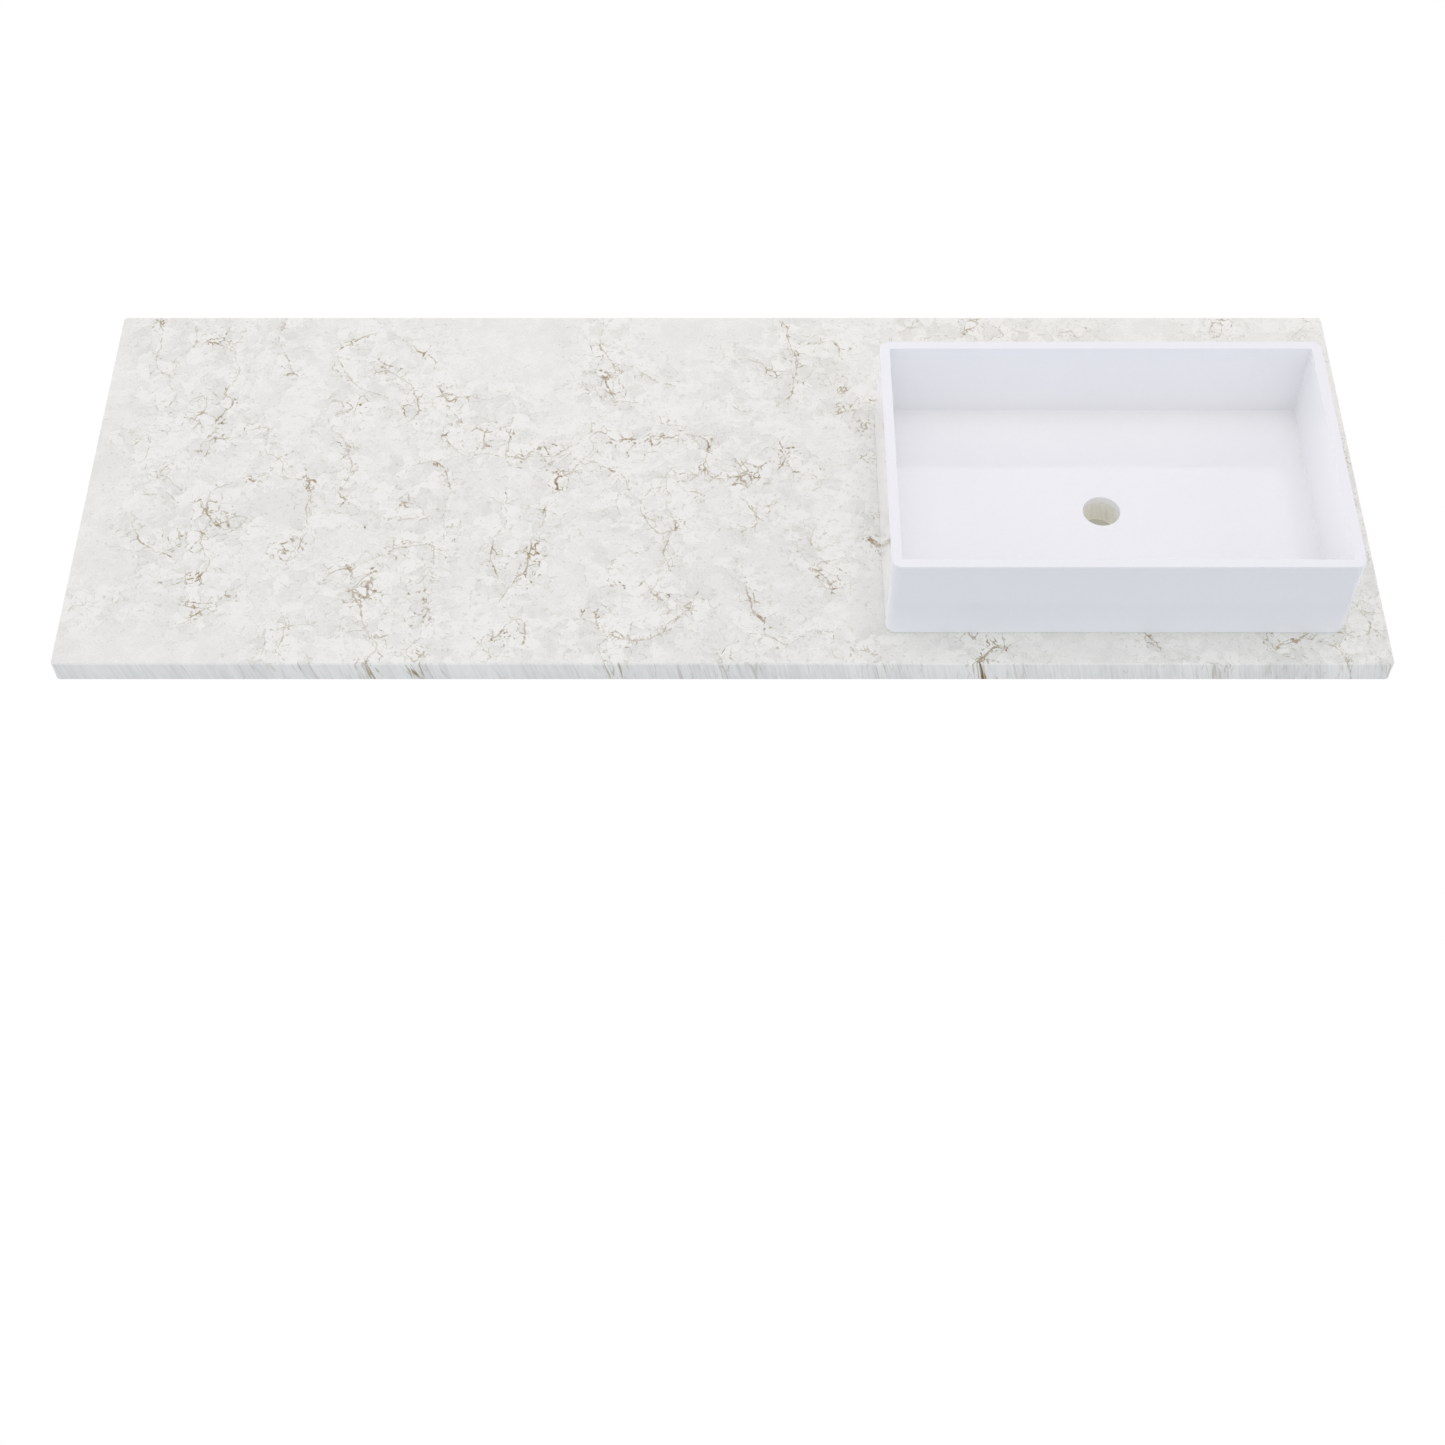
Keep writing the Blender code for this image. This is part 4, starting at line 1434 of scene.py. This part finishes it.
@dataclass(frozen=True)
class Studio:
    """A plain pale floor, a sky whose light changes with direction, a softbox and a weak window.

    Rays from the camera, off a gloss or through glass see white in place of the sky, and those off
    a gloss see it brighter by gloss_light. The floor under the slab is painted olive, as painted shade
    of the drain hole's bottom, and glows, which lights the drain hole's wall from below; the camera
    sees a part of that glow as painted light. The sky's six colours were fitted to the photograph's
    shades, and stand for no real studio.
    """

    floor_size: float = 14.0
    floor_gap: float = 0.5 * MM
    floor_tint: Colour = (0.60, 0.60, 0.60)
    covered_painted_shade: Colour = (0.52, 0.51, 0.43)
    under_light: Colour = (0.33, 0.328, 0.305)
    under_seen: float = 0.35
    cover_margin: float = 5 * MM
    floor_white: float = 1.008
    floor_veil: float = 0.985
    sky_even: Colour = (0.858, 0.883, 0.981)
    sky_sides: Colour = (0.609, 0.574, 0.478)
    sky_ends: Colour = (0.127, 0.078, 0.027)
    sky_rear: Colour = (0.784, 0.612, 0.397)
    sky_top: Colour = (-0.380, -0.376, -0.409)
    sky_slant: Colour = (-1.654, -1.379, -0.926)
    gloss_light: float = 0.35
    box_power: float = 11.8
    box_tint: Colour = (1.0, 0.866, 0.766)
    box_place: Vector = Vector((0.05, 0.35, 2.7))
    box_size: tuple[float, float] = (2.4, 1.4)
    window_light: float = 0.10
    window_way: Vector = Vector((-28.0, -94.5, -108.0))
    window_far: float = 1 / 60
    window_width: float = math.radians(0.5)

    def build(self) -> None:
        """Set up the floor, the surround and the lamps."""
        self.lay_floor()
        self.light_surround()
        self.hang_lamp("softbox", LampKind.SOFTBOX, self.box_place, -self.box_place)
        self.hang_lamp("window", LampKind.WINDOW, -self.window_way * self.window_far, self.window_way)
        bpy.context.scene.view_settings.view_transform = "Standard"

    def lay_floor(self) -> None:
        """Lay the floor just under the slab, white where it is open and glowing under the slab."""
        bpy.ops.object.select_all(action="DESELECT")
        bpy.ops.mesh.primitive_plane_add(size=self.floor_size, location=(0.0, 0.0, -self.floor_gap))
        floor = bpy.context.active_object
        floor.name = "studio_floor"
        bpy.ops.object.transform_apply(location=True, rotation=True, scale=True)
        material = bpy.data.materials.new("studio_white")
        material.use_nodes = True
        sheet = NodeSheet(material.node_tree)
        material.node_tree.nodes.remove(material.node_tree.nodes["Principled BSDF"])
        matt = sheet.add("ShaderNodeBsdfDiffuse")
        clear = self.open_floor(sheet)
        # Under the slab the floor is painted olive, as painted shade of the drain hole's bottom.
        sheet.feed(matt.inputs["Color"], sheet.blend(clear, self.covered_painted_shade, self.floor_tint))
        lit = sheet.add("ShaderNodeEmission")
        lit.inputs["Strength"].default_value = self.floor_white
        veil = sheet.add("ShaderNodeMixShader")
        veil.inputs[0].default_value = self.floor_veil
        sheet.feed(veil.inputs[1], matt.outputs[0])
        sheet.feed(veil.inputs[2], lit.outputs[0])
        chosen = sheet.add("ShaderNodeMixShader")
        sheet.feed(chosen.inputs[0], sheet.times(seen_directly(sheet), clear))
        sheet.feed(chosen.inputs[1], matt.outputs[0])
        sheet.feed(chosen.inputs[2], veil.outputs[0])
        under = sheet.add("ShaderNodeEmission")
        sheet.feed(under.inputs["Color"], (*self.under_light, 1.0))
        # The camera sees part of the glow, as painted light at the drain hole's bottom.
        seen = sheet.add("ShaderNodeLightPath").outputs["Is Camera Ray"]
        unseen = sheet.rise(seen, self.under_seen - 1.0, 1.0)
        sheet.feed(under.inputs["Strength"], sheet.times(sheet.less(1.0, clear), unseen))
        both = sheet.add("ShaderNodeAddShader")
        sheet.feed(both.inputs[0], chosen.outputs[0])
        sheet.feed(both.inputs[1], under.outputs[0])
        sheet.feed(material.node_tree.nodes["Material Output"].inputs["Surface"], both.outputs[0])
        floor.data.materials.append(material)

    def open_floor(self, sheet: NodeSheet) -> Socket:
        """Mask the floor that lies clear of the slab.

        Args:
            sheet: the floor material's sheet.

        Returns:
            1 on the open floor, and 0 under the slab.
        """
        _, high = CAD_BOX
        spot = sheet.add("ShaderNodeSeparateXYZ")
        sheet.feed(spot.inputs[0], sheet.add("ShaderNodeTexCoord").outputs["Object"])
        past_x = sheet.maths("GREATER_THAN", sheet.size(spot.outputs[0]), high.x - self.cover_margin)
        past_y = sheet.maths("GREATER_THAN", sheet.size(spot.outputs[1]), high.y - self.cover_margin)
        return sheet.most(past_x, past_y)

    def light_surround(self) -> None:
        """Light the scene from a sky whose colour is a second-order sum in the direction's parts."""
        world = bpy.data.worlds.new("studio_surround")
        bpy.context.scene.world = world
        world.use_nodes = True
        sheet = NodeSheet(world.node_tree)
        soft = world.node_tree.nodes["Background"]
        along, across, up = sheet.channels(sheet.add("ShaderNodeTexCoord").outputs["Generated"])
        light = sheet.vectors("MULTIPLY_ADD", up, self.sky_top, self.sky_even)
        light = sheet.vectors("MULTIPLY_ADD", across, self.sky_rear, light)
        light = sheet.vectors("MULTIPLY_ADD", sheet.times(across, up), self.sky_slant, light)
        light = sheet.vectors("MULTIPLY_ADD", sheet.times(across, across), self.sky_ends, light)
        light = sheet.vectors("MULTIPLY_ADD", sheet.times(along, along), self.sky_sides, light)
        sheet.feed(soft.inputs["Color"], light)
        soft.inputs["Strength"].default_value = 1.0
        white = sheet.add("ShaderNodeBackground")
        white.inputs["Color"].default_value = (1.0, 1.0, 1.0, 1.0)
        gloss = sheet.add("ShaderNodeLightPath").outputs["Is Glossy Ray"]
        sheet.feed(white.inputs["Strength"], sheet.rise(gloss, self.gloss_light, 1.0))
        chosen = sheet.add("ShaderNodeMixShader")
        sheet.feed(chosen.inputs[0], seen_directly(sheet))
        sheet.feed(chosen.inputs[1], soft.outputs[0])
        sheet.feed(chosen.inputs[2], white.outputs[0])
        sheet.feed(world.node_tree.nodes["World Output"].inputs["Surface"], chosen.outputs[0])

    def hang_lamp(self, name: str, kind: LampKind, place: Vector, way: Vector) -> None:
        """Hang a lamp.

        Args:
            name: the lamp's name.
            kind: which kind of lamp it is.
            place: where it hangs.
            way: the direction in which it shines.
        """
        light = bpy.data.lights.new(name, kind.value)
        if kind is LampKind.SOFTBOX:
            light.shape = "RECTANGLE"
            light.size, light.size_y = self.box_size
            light.energy = self.box_power
            light.color = self.box_tint
        else:
            light.energy = self.window_light
            light.angle = self.window_width
        lamp = bpy.data.objects.new(name, light)
        lamp.visible_glossy = False
        lamp.location = place
        lamp.rotation_euler = way.to_track_quat("-Z", "Y").to_euler()
        bpy.context.scene.collection.objects.link(lamp)


def seen_directly(sheet: NodeSheet) -> Socket:
    """Say whether a ray comes from the camera, off a gloss or through glass.

    Args:
        sheet: the sheet of the floor or the surround.

    Returns:
        1 for such a ray, and 0 for the rays that light the scene.
    """
    path = sheet.add("ShaderNodeLightPath")
    direct = sheet.most(path.outputs["Is Camera Ray"], path.outputs["Is Glossy Ray"])
    return sheet.most(direct, path.outputs["Is Transmission Ray"])


@dataclass(frozen=True)
class PhotoCamera:
    """The camera at the photograph's viewing angle, as fitted to the slab's and the basin's corners."""

    place: Vector = Vector((0.0, -1.8105, 2.0962))
    pitch_down: float = math.radians(54.959)
    focal_pixels: float = 2232.8
    picture_pixels: float = 1445.0
    sensor: float = 36.0
    nearest: float = 0.05

    def build(self) -> None:
        """Place the camera."""
        lens = bpy.data.cameras.new("photo_camera")
        lens.sensor_fit = "HORIZONTAL"
        lens.sensor_width = self.sensor
        lens.lens = self.focal_pixels / self.picture_pixels * self.sensor
        lens.clip_start = self.nearest
        camera = bpy.data.objects.new("photo_camera", lens)
        camera.location = self.place
        camera.rotation_euler = (math.pi / 2 - self.pitch_down, 0.0, 0.0)
        bpy.context.scene.collection.objects.link(camera)
        bpy.context.scene.camera = camera


def main() -> None:
    """Build the pieces in order and set up the studio round them."""
    logging.basicConfig(level=logging.INFO, format="%(name)s: %(message)s")
    PhotoCamera().build()
    Studio().build()

    slab_low, slab_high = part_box("countertop_slab")
    floor_low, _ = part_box("basin_floor")
    walls = ("basin_front_wall", "basin_back_wall", "basin_left_wall", "basin_right_wall")
    corners = [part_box(wall) for wall in walls]
    basin_low = Vector([min(low[axis] for low, _ in corners) for axis in range(3)])
    basin_high = Vector([max(high[axis] for _, high in corners) for axis in range(3)])
    basin_low.z = min(basin_low.z, floor_low.z)
    middle = (basin_low + basin_high) / 2
    drain = Drain(Vector((middle.x, middle.y, 0.0)))

    grain = FineGrain().build()
    figure = StoneFigure().build()

    slab = StoneSlab(slab_low, slab_high, drain)
    slab_piece = slab.build()
    slab.dress(slab_piece, figure, grain)
    settle(slab_piece, ("countertop_slab",))

    basin = FabricatedBasin(basin_low, basin_high, basin_low.z + SHEET_THICKNESS, drain)
    basin_piece = basin.build()
    basin.dress(basin_piece, grain)
    settle(basin_piece, ("basin_floor", *walls))

    joints = SealantJoints(slab_high.z, basin_low.z, basin_low, basin_high, drain)
    foot, ring = joints.build()
    joints.dress((foot, ring), grain)
    settle(foot, ("basin_seal",))
    settle(ring, ("drain_seal",))


if __name__ == "__main__":
    main()
